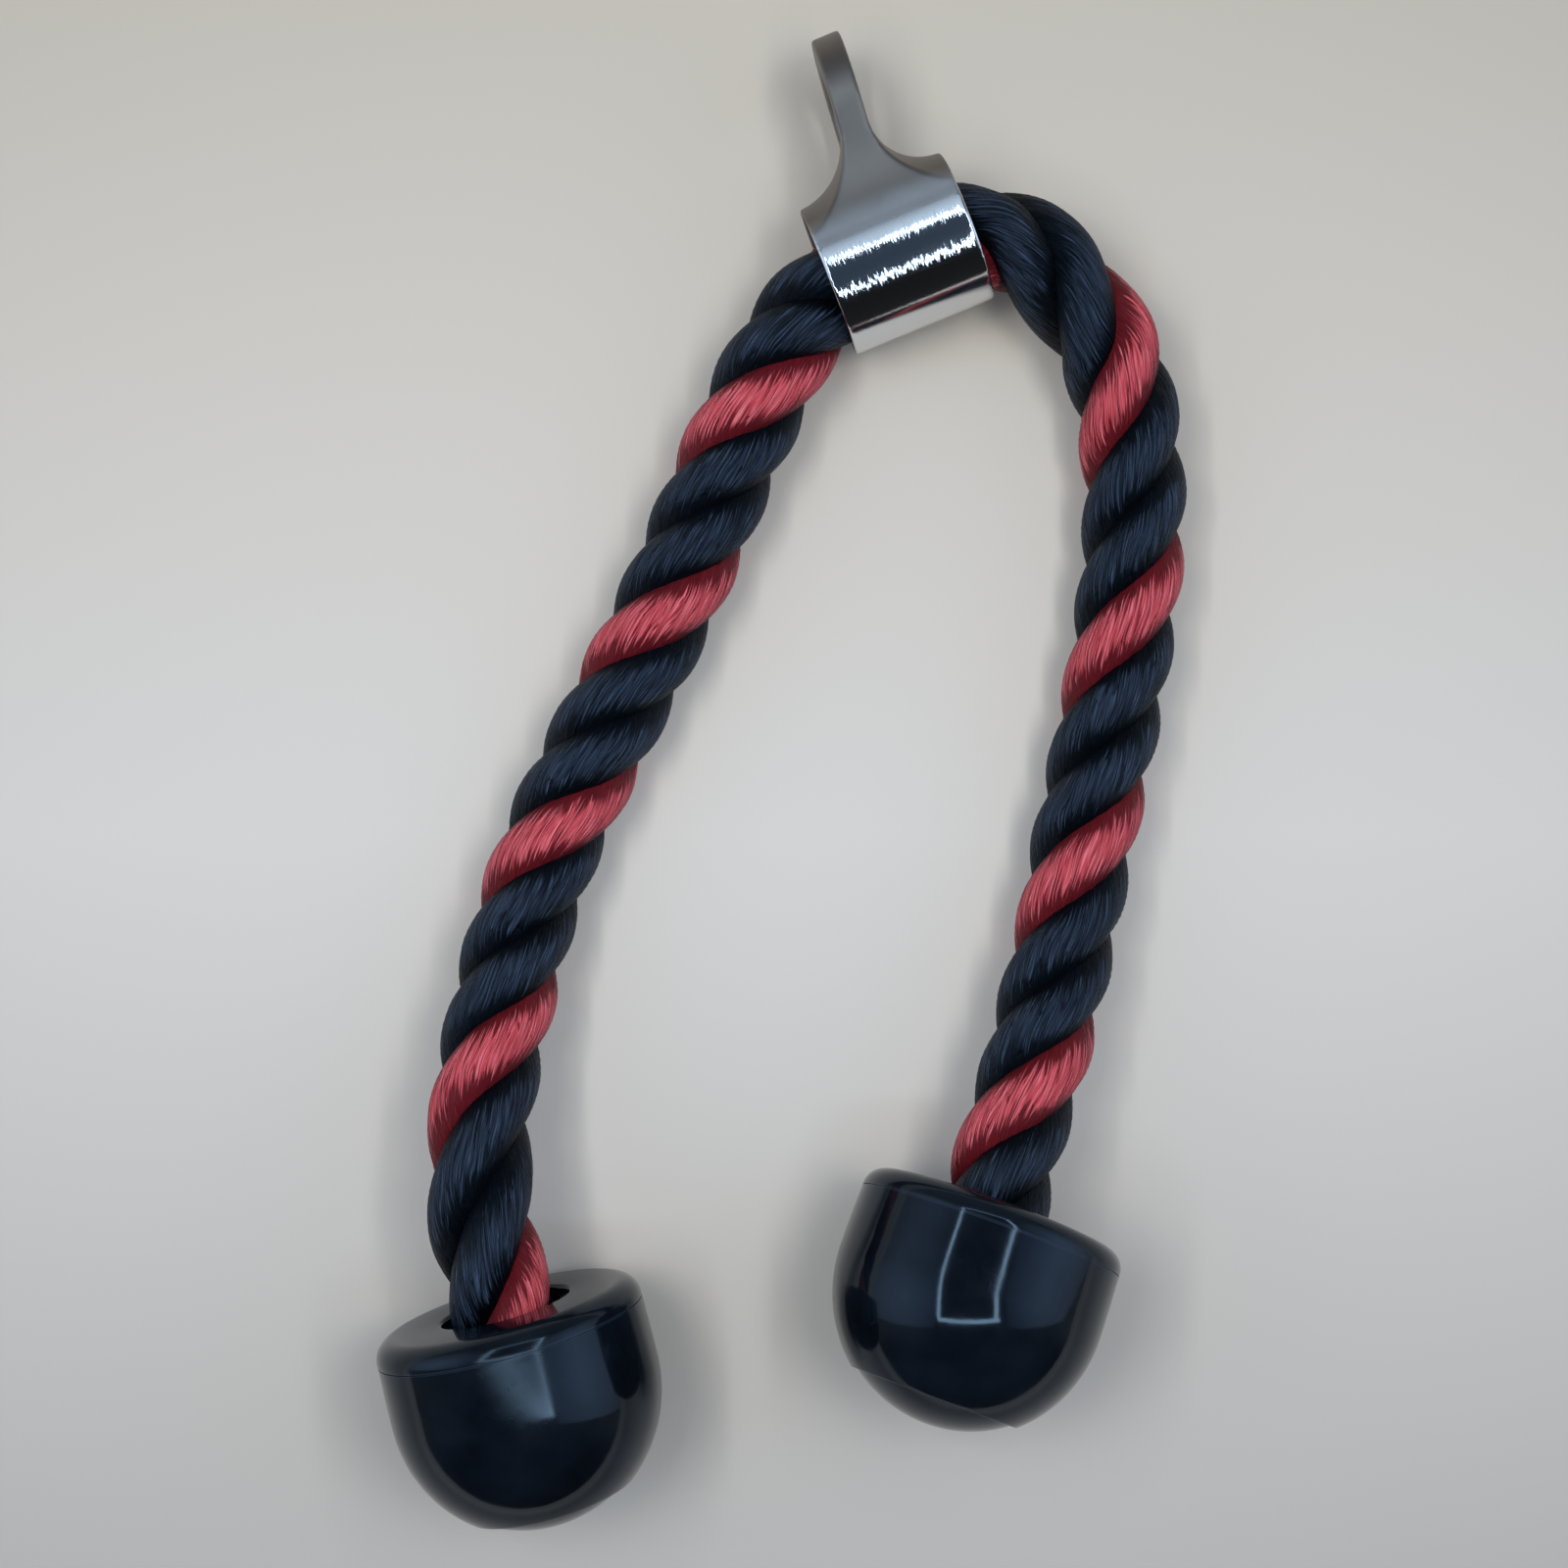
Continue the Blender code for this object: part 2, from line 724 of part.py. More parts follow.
def make_leg(side, collection, layout, materials):
    """One leg: its bend by the collar, its free stretch and the stopper on its end."""
    line = rope_line(side)
    bend_length = BEND_LENGTHS[side]
    leg_start = bend_length + CONTACT_GAP
    whole = line_lengths(line)[-1]
    bend = squared_stretch(line, 0.0, bend_length, BEND_POINT_SPACING)
    leg = squared_stretch(line, leg_start, whole, LEG_POINT_SPACING)
    pivot = leg_pivot(side)
    frame = new_empty(side + "_leg_pivot", collection, layout, Matrix.Translation(pivot))
    rope = materials["rope_black"]
    tube(f"rope_{side}_bend", bend, collection, frame, pivot, rope)
    tube(f"rope_{side}_leg", leg, collection, frame, pivot, rope)
    stopper_frame = new_empty(
        side + "_stopper_axis", collection, frame, Matrix.Translation(-pivot) @ stopper_matrix(side)
    )
    make_stopper(side, collection, stopper_frame, materials)
    print(side, "pivot", [round(value, 5) for value in pivot], "rope length", round(whole, 4))


def main():
    clear_scene()
    collection = new_collection("triceps_rope")
    cutters = new_collection("cutters")
    materials = {name: make_material(name) for name in MATERIALS}
    shift = Vector((-LAYOUT_CENTRE[0], -LAYOUT_CENTRE[1], 0))
    layout = new_empty("layout", collection, None, Matrix.Translation(shift))
    fitting = new_empty("fitting_frame", collection, layout, fitting_matrix())
    make_eye_fitting(collection, cutters, fitting, materials["chrome"])
    make_middle(collection, fitting, materials["rope_black"])
    for side in MOUTH_SIDES:
        make_leg(side, collection, layout, materials)
    bpy.context.view_layer.update()


main()
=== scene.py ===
"""Triceps rope: a thick laid rope in a chromed eye fitting, with a glossy stopper on each end.

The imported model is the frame, in metres with +Z up. The rope lies on the floor, z = 0. Rope, eye
fitting, stoppers and stage each have an operator and a property group; all other sizes are named
below, in metres and degrees.
"""

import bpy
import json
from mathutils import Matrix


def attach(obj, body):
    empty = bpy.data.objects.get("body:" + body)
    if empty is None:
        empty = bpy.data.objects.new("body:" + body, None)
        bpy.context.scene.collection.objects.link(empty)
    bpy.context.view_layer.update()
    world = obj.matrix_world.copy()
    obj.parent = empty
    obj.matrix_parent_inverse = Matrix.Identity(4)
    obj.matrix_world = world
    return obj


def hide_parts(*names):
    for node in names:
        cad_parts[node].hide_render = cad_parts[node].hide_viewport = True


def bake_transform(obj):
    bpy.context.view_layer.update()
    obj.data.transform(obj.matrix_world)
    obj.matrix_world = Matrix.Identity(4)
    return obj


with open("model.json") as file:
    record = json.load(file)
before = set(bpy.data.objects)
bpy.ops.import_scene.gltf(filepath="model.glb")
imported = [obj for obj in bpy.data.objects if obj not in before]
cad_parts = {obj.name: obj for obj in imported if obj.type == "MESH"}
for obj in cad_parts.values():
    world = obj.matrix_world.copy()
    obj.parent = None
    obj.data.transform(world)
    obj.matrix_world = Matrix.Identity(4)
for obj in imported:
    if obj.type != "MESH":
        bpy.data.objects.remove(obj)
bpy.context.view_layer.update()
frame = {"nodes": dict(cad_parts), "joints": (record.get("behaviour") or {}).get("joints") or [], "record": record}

import json
import math
from functools import partial

import bmesh
import bpy
from bpy.props import FloatProperty, FloatVectorProperty, IntProperty, PointerProperty
from mathutils import Matrix, Vector

bl_info = {
    "name": "Triceps rope",
    "version": (1, 0, 0),
    "blender": (4, 5, 0),
    "location": "3D View > Sidebar > Triceps rope",
    "description": "Dresses the triceps rope with its laid strands, chromed fitting and stoppers",
    "category": "Add Mesh",
}

# Modelling allowances and steps
CUT_OVERRUN = 0.002
WELD_DISTANCE = 0.00001
ROUTE_SAMPLE = 0.001
CORD_POINTS = 36
MOUTH_STEPS = 16
SIDE_STEPS = 12
LIP_STEPS = 6
SHARP_ANGLE = 38.0
FLOOR_DROP = 0.0002

# Rope, and where its centre line runs: measured from the collar's middle and from the floor
MIDDLE_RISE = 0.0009
MIDDLE_HALF_TURN = 22.65
FERRULE_TOP = 0.001
BEND_LENGTHS = {"left": 0.043, "right": 0.078}
MOUTH_SIDES = {"left": -1, "right": 1}
ROUTES = {
    "left": [
        (-0.0213, -0.0146, 0.0173), (-0.0256, -0.0199, 0.0166), (-0.0293, -0.0258, 0.0159),
        (-0.0325, -0.0321, 0.0152), (-0.0385, -0.0445, 0.0140), (-0.0468, -0.0641, 0.0130),
        (-0.0554, -0.0835, 0.0127), (-0.0647, -0.1023, 0.0126), (-0.0746, -0.1219, 0.0128),
        (-0.0829, -0.1399, 0.0134), (-0.0895, -0.1595, 0.0152), (-0.0937, -0.1777, 0.0188),
        (-0.0967, -0.1937, 0.0232), (-0.0980, -0.2079, 0.0272), (-0.0978, -0.2191, 0.0296),
        (-0.0968, -0.2284, 0.0309), (-0.0948, -0.2370, 0.0314),
    ],
    "right": [
        (0.0233, 0.0040, 0.0206), (0.0291, 0.0016, 0.0202), (0.0349, -0.0023, 0.0194),
        (0.0406, -0.0081, 0.0182), (0.0459, -0.0147, 0.0169), (0.0507, -0.0217, 0.0157),
        (0.0537, -0.0305, 0.0147), (0.0558, -0.0409, 0.0138), (0.0569, -0.0525, 0.0132),
        (0.0570, -0.0655, 0.0128), (0.0557, -0.0809, 0.0126), (0.0529, -0.0997, 0.0126),
        (0.0489, -0.1207, 0.0128), (0.0444, -0.1418, 0.0138), (0.0400, -0.1629, 0.0160),
        (0.0353, -0.1811, 0.0193), (0.0309, -0.1963, 0.0228), (0.0269, -0.2075, 0.0254),
        (0.0244, -0.2153, 0.0272),
    ],
}

# Lay of the rope: length of one turn, angle of the red strand in the collar's middle, and by what
# angle the lay opens over which stretch: into the left stopper, and round the wide right bend
PITCHES = {"left": 0.05653, "right": 0.05775}
STRAND_PHASES = {"left": 49.4, "right": 130.6}
OPENED_LAYS = {"left": (55.0, 0.222, 0.275), "right": (44.6, 0.020, 0.068)}

# Strand surface: how much its columns crowd to the outside, the share of its length that closes
# each end, and how coarse, how drawn out and how strong the yarns' lumps are
COLUMN_CROWDING = 0.55
END_SHARE = 0.0005
END_WELD = 0.00002
LUMP_SCALE = 620.0
LUMP_STRETCH = 0.09
LUMP_SWING = 1.2

# Eye fitting
COLLAR_RADIUS = 0.018
COLLAR_LENGTH = 0.0355
BORE_RADIUS = 0.014
MOUTH_RADIUS = 0.017
MOUTH_FLARE_LENGTH = 0.010
RING_RADIUS = 0.018
RING_THICKNESS = 0.007
RING_RISE = 0.0363
RING_LEAN = 4.5
EYE_HOLE_RADIUS = 0.010
EYE_EDGE_ROUND = 0.001
NECK_BLEND_RADIUS = 0.040
SHOULDER_LAND = 0.0002

# Stopper; heights are from the seam
STOPPER_RADIUS = 0.0315
SIDE_SWELL = 0.0002
WIDEST_DEPTH = 0.0145
CUP_DEPTH = 0.047
WALL = 0.003
LID_SKIRT = 0.0005
LID_EDGE_ROUND = 0.0048
LID_PLATE = 0.004
ROPE_HOLE_RADIUS = 0.015
HOLE_EDGE_ROUND = 0.001
SEAM_WIDTH = 0.00012
SEAM_DEPTH = 0.0004
CAP_RADIUS = 0.020
CAP_STEP = 0.0012
LIP_ROUND = 0.0004

# Rubbed patches of the stoppers: place, reach and how dull each is
RUBBED_PLACES = (
    ((-0.0530, -0.1320, 0.0600), 0.017, 0.7), ((0.0498, -0.1094, 0.0645), 0.011, 0.25)
)

# Camera: straight above the layout, as the photograph is framed
CAMERA_PLACE = (0.00828, -0.00283, 0.5594)
VIEW_ANGLE = 38.0
BACKDROP = "#D2D0CC"

# Light tent: bright strips round the opening that the camera looks through, its lit sides, and
# soft light that gloss doesn't show. Each row is the name, place, aim, two sides, radiance
# straight ahead, colour, spread and, where gloss doesn't show the lamp, False.
LAMPS = (
    ("far_strip", (0.0, 0.27, 0.58), (0.0, 0.27, 0.0), 0.52, 0.026, 8.0, "#D8ECFF", 180),
    ("far_glow", (0.0, 0.44, 0.58), (0.0, 0.44, 0.0), 0.6, 0.32, 1.5, "#D8ECFF", 100),
    ("near_strip", (0.0, -0.215, 0.58), (0.0, -0.215, 0.0), 0.50, 0.030, 12.0, "#D8ECFF", 180),
    ("left_strip", (-0.245, 0.03, 0.58), (-0.245, 0.03, 0.0), 0.030, 0.47, 12.0, "#D8ECFF", 180),
    ("right_strip", (0.220, 0.03, 0.58), (0.220, 0.03, 0.0), 0.030, 0.47, 12.0, "#D8ECFF", 180),
    ("left_side", (-0.62, 0.06, 0.42), (0.0, 0.0, 0.05), 0.8, 0.9, 1.6, "#C4DAFF", 80),
    ("right_side", (0.62, 0.06, 0.42), (0.0, 0.0, 0.05), 0.8, 0.9, 1.8, "#C4DAFF", 80),
    ("left_fill", (-0.245, 0.035, 0.60), (-0.245, 0.035, 0.0), 0.05, 0.47, 7.5, "#FFFCF6", 180,
     False),
    ("right_fill", (0.245, 0.035, 0.60), (0.245, 0.035, 0.0), 0.05, 0.47, 6.0, "#FFFCF6", 180,
     False),
    ("left_top", (-0.25, 0.08, 0.80), (0.0, 0.0, 0.0), 0.25, 0.25, 9.5, "#FFFCF6", 180, False),
    ("right_top", (0.25, 0.05, 0.80), (0.0, 0.0, 0.0), 0.25, 0.25, 8.5, "#FFFCF6", 180, False),
)


class StageLook(bpy.types.PropertyGroup):
    # Painted light on the floor: lightest between the rope's legs, with painted shade behind the rope, in front of
    # it and most well in front of the stoppers
    floor_far: FloatVectorProperty(
        name="Floor, far", description="Floor colour behind the rope",
        subtype="COLOR", min=0.0, max=1.0, default=(0.718, 0.682, 0.630),
    )
    floor_middle: FloatVectorProperty(
        name="Floor, middle", description="Floor colour between the rope's legs",
        subtype="COLOR", min=0.0, max=1.0, default=(0.776, 0.754, 0.728),
    )
    floor_front: FloatVectorProperty(
        name="Floor, front", description="Floor colour well in front of the stoppers",
        subtype="COLOR", min=0.0, max=1.0, default=(0.600, 0.590, 0.580),
    )
    floor_near: FloatVectorProperty(
        name="Floor, near", description="Floor colour in front of the rope",
        subtype="COLOR", min=0.0, max=1.0, default=(0.714, 0.694, 0.668),
    )
    floor_size: FloatProperty(
        name="Floor size", description="Side of the square floor",
        subtype="DISTANCE", default=6.0, min=1.0,
    )


class RopeLook(bpy.types.PropertyGroup):
    lay_radius: FloatProperty(
        name="Lay radius", description="Distance from the rope's middle to a strand's middle",
        subtype="DISTANCE", default=0.0056, min=0.001,
    )
    strand_radius: FloatProperty(
        name="Strand radius", description="Half of one strand's thickness",
        subtype="DISTANCE", default=0.0069, min=0.001,
    )
    yarn_height: FloatProperty(
        name="Yarn height", description="How far the yarns stand out of a strand",
        subtype="DISTANCE", default=0.00035, min=0.0,
    )
    seed: IntProperty(name="Seed", description="Seed of the yarns' unevenness", default=4, min=0)
    black: FloatVectorProperty(
        name="Black strand", description="Colour of the two dark strands",
        subtype="COLOR", min=0.0, max=1.0, default=(0.086, 0.108, 0.147),
    )
    red: FloatVectorProperty(
        name="Red strand", description="Colour of the marker strand",
        subtype="COLOR", min=0.0, max=1.0, default=(0.70, 0.245, 0.278),
    )


class FittingLook(bpy.types.PropertyGroup):
    chrome: FloatVectorProperty(
        name="Chrome", description="Colour of the polished plate",
        subtype="COLOR", min=0.0, max=1.0, default=(0.84, 0.85, 0.86),
    )
    satin: FloatVectorProperty(
        name="Satin chrome", description="Colour of the unpolished plate on the web and ring",
        subtype="COLOR", min=0.0, max=1.0, default=(0.51, 0.485, 0.46),
    )
    mark_lean: FloatProperty(
        name="Turning marks", description="How far the turning marks lean, as a slope",
        default=0.17, min=0.0,
    )
    skin_voxel: FloatProperty(
        name="Skin detail", description="Edge length of the fitting's faces",
        subtype="DISTANCE", default=0.00045, min=0.0002,
    )


class StopperLook(bpy.types.PropertyGroup):
    plastic: FloatVectorProperty(
        name="Stopper plastic", description="Colour of the moulded stopper",
        subtype="COLOR", min=0.0, max=1.0, default=(0.020, 0.032, 0.054),
    )
    steps: IntProperty(name="Steps", description="Faces round a stopper", default=160, min=24)


LOOKS = {
    "rope_stage_look": StageLook,
    "rope_strand_look": RopeLook,
    "rope_fitting_look": FittingLook,
    "rope_stopper_look": StopperLook,
}


def linear(colour):
    """Linear RGBA of an sRGB hex string, or of an sRGB colour property."""
    if isinstance(colour, str):
        digits = colour.lstrip("#")
        colour = [int(digits[at:at + 2], 16) / 255 for at in (0, 2, 4)]
    return tuple(
        value / 12.92 if value <= 0.04045 else ((value + 0.055) / 1.055) ** 2.4 for value in colour
    ) + (1.0,)


def fill(node, values):
    """Values, in order or by name, fill or link a node's inputs; a node given as a value stands
    for its first live output."""
    for key, value in values.items() if isinstance(values, dict) else enumerate(values):
        target = node.inputs[key]
        if not target.enabled:
            target = next(live for live in node.inputs if live.name == key and live.enabled)
        if isinstance(value, bpy.types.Node):
            value = next(live for live in value.outputs if live.enabled)
        if isinstance(value, bpy.types.NodeSocket):
            node.id_data.links.new(value, target)
        else:
            target.default_value = value


def add_node(tree, kind, values=(), stops=(), **settings):
    """A node with its settings and inputs and, on a colour ramp, its stops from low to high."""
    node = tree.nodes.new(kind)
    for name, setting in settings.items():
        setattr(node, name, setting)
    fill(node, values)
    for place, (position, colour) in enumerate(stops):
        elements = node.color_ramp.elements
        element = elements[place] if place < 2 else elements.new(position)
        element.position = position
        element.color = linear(colour)
    return node


def new_material(name):
    """A material, add_node for its tree, and its shader."""
    material = bpy.data.materials.new(name)
    material.use_nodes = True
    tree = material.node_tree
    return material, partial(add_node, tree), tree.nodes["Principled BSDF"]


def new_object(name, data):
    made = bpy.data.objects.new(name, data)
    bpy.context.scene.collection.objects.link(made)
    return made


def drop(scene_object):
    bpy.data.objects.remove(scene_object, do_unlink=True)


def finished_mesh(source):
    """The mesh that the object's modifiers or curve settings make; the object itself goes."""
    depsgraph = bpy.context.evaluated_depsgraph_get()
    depsgraph.update()
    mesh = bpy.data.meshes.new_from_object(
        source.evaluated_get(depsgraph), preserve_all_data_layers=True, depsgraph=depsgraph
    )
    drop(source)
    return mesh


def weld(mesh):
    """Merge the mesh's doubled corners and turn its faces outwards."""
    editing = bmesh.new()
    editing.from_mesh(mesh)
    bmesh.ops.remove_doubles(editing, verts=editing.verts, dist=WELD_DISTANCE)
    bmesh.ops.recalc_face_normals(editing, faces=editing.faces)
    editing.to_mesh(mesh)
    editing.free()


# Frames and lines


def joint(name):
    return next(entry for entry in frame["joints"] if entry["name"] == name)


def fitting_matrix():
    """Frame with its origin in the bore's middle, X along the bore and Y towards the ring."""
    swivel = joint("rope_swivel")
    origin = Vector(swivel["pos_m"])
    along = Vector(swivel["axis"]).normalized()
    faces = [Vector(mount["pos_m"]) for mount in frame["record"]["mounts"]]
    rise = sum(faces, Vector()) / len(faces) - origin
    upward = (rise - along * rise.dot(along)).normalized()
    turn = Matrix((along, upward, along.cross(upward))).transposed()
    return Matrix.Translation(origin) @ turn.to_4x4()


def stopper_matrix(side):
    """Frame with its origin at the seam's centre and its Z axis up the rope."""
    spin = joint(side + "_stopper_spin")
    up_rope = Vector(spin["axis"]).normalized()
    across = Vector((0, 0, 1)).cross(up_rope).normalized()
    turn = Matrix((across, up_rope.cross(across), up_rope)).transposed()
    return Matrix.Translation(Vector(spin["pos_m"])) @ turn.to_4x4()


def middle_point(angle):
    """Point of the rope's arc in the collar, in the fitting's frame."""
    arc_radius = COLLAR_LENGTH / 2 / math.sin(math.radians(MIDDLE_HALF_TURN))
    return Vector((
        arc_radius * math.sin(angle), MIDDLE_RISE - arc_radius * (1 - math.cos(angle)), 0
    ))


def collar_arc(side):
    """The rope's centre line from the collar's middle to its mouth, and the way it leaves."""
    end = MOUTH_SIDES[side] * math.radians(MIDDLE_HALF_TURN)
    steps = round(COLLAR_LENGTH / 2 / ROUTE_SAMPLE)
    place = fitting_matrix()
    points = [place @ middle_point(end * step / steps) for step in range(steps + 1)]
    outward = Vector((MOUTH_SIDES[side] * math.cos(end), -abs(math.sin(end)), 0))
    return points, place.to_3x3() @ outward


def smooth_line(points, start_direction, end_direction):
    """Close samples of a smooth curve through the points, with the given end directions."""
    gaps = [(after - before).length for before, after in zip(points, points[1:])]
    slopes = [start_direction]
    for index in range(1, len(points) - 1):
        before = (points[index] - points[index - 1]) / gaps[index - 1]
        after = (points[index + 1] - points[index]) / gaps[index]
        blend = gaps[index - 1] + gaps[index]
        slopes.append((before * gaps[index] + after * gaps[index - 1]) / blend)
    slopes.append(end_direction)
    samples = []
    for index, gap in enumerate(gaps):
        steps = max(1, round(gap / ROUTE_SAMPLE))
        for step in range(steps):
            share = step / steps
            samples.append(
                points[index] * (2 * share**3 - 3 * share**2 + 1)
                + slopes[index] * gap * (share**3 - 2 * share**2 + share)
                + points[index + 1] * (3 * share**2 - 2 * share**3)
                + slopes[index + 1] * gap * (share**3 - share**2)
            )
    samples.append(points[-1])
    return samples


def line_length(line):
    return sum((after - before).length for before, after in zip(line, line[1:]))


def point_along(line, wanted):
    """Point of a line at a length along it."""
    for before, after in zip(line, line[1:]):
        gap = (after - before).length
        if wanted <= gap:
            return before.lerp(after, wanted / gap)
        wanted -= gap
    return line[-1]


def leg_line(side):
    """Centre line of the free leg, from the collar's mouth to the ferrule."""
    in_collar, outward = collar_arc(side)
    collar = Vector((*fitting_matrix().translation.xy, 0))
    stopper = stopper_matrix(side)
    up_rope = stopper.to_3x3() @ Vector((0, 0, 1))
    ferrule = stopper @ Vector((0, 0, -FERRULE_TOP))
    route = [collar + Vector(point) for point in ROUTES[side]]
    points = [in_collar[-1], *route, ferrule]
    return smooth_line(points, outward, -up_rope)


def arc(centre, arc_radius, start, end, steps):
    """Points of a circular arc, both ends included; angles in radians."""
    angles = [start + (end - start) * step / steps for step in range(steps + 1)]
    return [
        (centre[0] + arc_radius * math.cos(angle), centre[1] + arc_radius * math.sin(angle))
        for angle in angles
    ]


# Rope


def strand_tree():
    """Node tree that lays one strand round the curve, with its yarns on the surface.

    A strand's section stands square to the strand's own run. The yarns turn against the lay, so
    they come out nearly in line with the rope, and the UV map follows them: across in U and along
    in V, both in metres.
    """
    tree = bpy.data.node_groups.new("laid_strand", "GeometryNodeTree")
    add = partial(add_node, tree)
    add_socket = tree.interface.new_socket
    add_socket("Geometry", in_out="INPUT", socket_type="NodeSocketGeometry")
    for name, kind, value in (
        ("Phase", "Float", 0.0),
        ("Pitch", "Float", 0.057),
        ("Lay Radius", "Float", 0.0056),
        ("Strand Radius", "Float", 0.0069),
        ("Yarn Turn", "Float", 1.75),
        ("Yarn Height", "Float", 0.0002),
        ("Opened Phase", "Float", 0.0),
        ("Opening Start", "Float", 0.020),
        ("Opening End", "Float", 0.068),
        ("Seed", "Float", 0.0),
        ("Steps Along", "Int", 280),
        ("Steps Around", "Int", 96),
    ):
        socket = add_socket(name, in_out="INPUT", socket_type="NodeSocket" + kind)
        socket.default_value = value
    add_socket("Material", in_out="INPUT", socket_type="NodeSocketMaterial")
    add_socket("Geometry", in_out="OUTPUT", socket_type="NodeSocketGeometry")
    given = add("NodeGroupInput").outputs
    upright = add("GeometryNodeSetCurveNormal", {"Curve": given["Geometry"]}, mode="Z_UP")
    whole = add("GeometryNodeCurveLength", {"Curve": upright})
    rows = add("ShaderNodeMath", [given["Steps Along"], 1.0], operation="ADD")
    columns = add("ShaderNodeMath", [given["Steps Around"], 1.0], operation="ADD")
    sheet = add(
        "GeometryNodeMeshGrid",
        {"Size X": 1.0, "Size Y": 1.0, "Vertices X": rows, "Vertices Y": columns},
    )
    place = add("GeometryNodeInputPosition")
    shares = add("ShaderNodeVectorMath", [place, (0.5, 0.5, 0.0)], operation="ADD")
    share = add("ShaderNodeSeparateXYZ", [shares]).outputs
    along = add("ShaderNodeMath", [share["X"], whole], operation="MULTIPLY")
    # From the inside of the strand round to its inside: the outside gets the closer columns
    full_turn = add("ShaderNodeMath", [share["Y"], math.tau, -math.pi], operation="MULTIPLY_ADD")
    sine = add("ShaderNodeMath", [full_turn], operation="SINE")
    around = add("ShaderNodeMath", [sine, -COLUMN_CROWDING, full_turn], operation="MULTIPLY_ADD")
    opened = add(
        "ShaderNodeMapRange",
        {"Value": along, "From Min": given["Opening Start"], "From Max": given["Opening End"],
         "To Min": given["Phase"], "To Max": given["Opened Phase"]},
        interpolation_type="SMOOTHSTEP",
    )
    lay = add("ShaderNodeMath", [-math.tau, given["Pitch"]], operation="DIVIDE")
    theta = add("ShaderNodeMath", [along, lay, opened], operation="MULTIPLY_ADD")

    # From the line's level normal to the strand's middle and to its side, round the line
    on_line = add(
        "GeometryNodeSampleCurve",
        {"Curves": upright, "Length": along}, mode="LENGTH", use_all_curves=True,
    ).outputs
    beside = add("ShaderNodeMath", [theta, math.pi / 2], operation="ADD")
    outward, sideways = (
        add(
            "ShaderNodeVectorRotate",
            {"Vector": on_line["Normal"], "Axis": on_line["Tangent"], "Angle": angle}, invert=True,
        )
        for angle in (theta, beside)
    )
    # The strand's run slopes round the line, and its section stands square to that run
    girth = add("ShaderNodeMath", [given["Lay Radius"], math.tau], operation="MULTIPLY")
    slope = add("ShaderNodeMath", [girth, given["Pitch"]], operation="ARCTAN2")
    across = add(
        "ShaderNodeVectorRotate",
        {"Vector": sideways, "Axis": outward, "Angle": slope}, invert=True,
    )
    run = add("ShaderNodeVectorMath", [outward, across], operation="CROSS_PRODUCT")
    from_middle = add("ShaderNodeVectorRotate", {"Vector": outward, "Axis": run, "Angle": around})

    # Yarn angle: constant along a yarn. The yarns' lumps are longer along it than across
    yarn = add("ShaderNodeMath", [theta, given["Yarn Turn"], around], operation="MULTIPLY_ADD")
    long = add("ShaderNodeMath", [along, LUMP_STRETCH], operation="MULTIPLY")
    unrolled = add("ShaderNodeCombineXYZ", {"X": given["Strand Radius"], "Z": long})
    lumps_at = add(
        "ShaderNodeVectorRotate", {"Vector": unrolled, "Axis": (0.0, 0.0, 1.0), "Angle": yarn}
    )
    lumps = add(
        "ShaderNodeTexNoise",
        {"Vector": lumps_at, "W": given["Seed"], "Scale": LUMP_SCALE, "Detail": 2.0,
         "Roughness": 0.55},
        noise_dimensions="4D",
    )
    lift = add(
        "ShaderNodeMapRange",
        {"Value": lumps, "To Min": -LUMP_SWING, "To Max": LUMP_SWING}, clamp=False,
    )
    grown = add(
        "ShaderNodeMath", [lift, given["Yarn Height"], given["Strand Radius"]],
        operation="MULTIPLY_ADD",
    )
    # The first and last rings shrink to points, which closes the ends
    between = add("ShaderNodeMath", [share["X"], 0.5, 0.5 - END_SHARE], operation="COMPARE")
    swell = add("ShaderNodeMath", [grown, between], operation="MULTIPLY")
    strand_middle = add(
        "ShaderNodeVectorMath", [outward, given["Lay Radius"]], operation="MULTIPLY"
    )
    reach = add("ShaderNodeVectorMath", [from_middle, swell], operation="MULTIPLY")
    offset = add("ShaderNodeVectorMath", [strand_middle, reach], operation="ADD")
    surface = add("ShaderNodeVectorMath", [on_line["Position"], offset], operation="ADD")

    # Kept for the material: the yarn's place on the surface, and how far out that place is
    yarn_u = add("ShaderNodeMath", [yarn, given["Strand Radius"]], operation="MULTIPLY")
    yarn_uv = add("ShaderNodeCombineXYZ", [yarn_u, along])
    mapped = add(
        "GeometryNodeStoreNamedAttribute",
        {"Geometry": sheet, "Name": "UVMap", "Value": yarn_uv},
        data_type="FLOAT2", domain="CORNER",
    )
    # The material paints shade into the hollows between the strands from how far out a place is
    crest = add("ShaderNodeMath", [around], operation="COSINE")
    marked = add(
        "GeometryNodeStoreNamedAttribute",
        {"Geometry": mapped, "Name": "crest", "Value": crest}, data_type="FLOAT", domain="POINT",
    )
    laid = add("GeometryNodeSetPosition", {"Geometry": marked, "Position": surface})
    closed = add("GeometryNodeMergeByDistance", {"Geometry": laid, "Distance": END_WELD})
    smooth = add("GeometryNodeSetShadeSmooth", {"Geometry": closed})
    real = add("GeometryNodeRealizeInstances", {"Geometry": smooth})
    coated = add("GeometryNodeSetMaterial", {"Geometry": real, "Material": given["Material"]})
    add("NodeGroupOutput", {"Geometry": coated})
    return tree


def set_inputs(modifier, values):
    """Fill a nodes modifier's inputs, each found by its name and set by its identifier."""
    for item in modifier.node_group.interface.items_tree:
        if item.in_out == "INPUT" and item.name in values:
            modifier[item.identifier] = values[item.name]


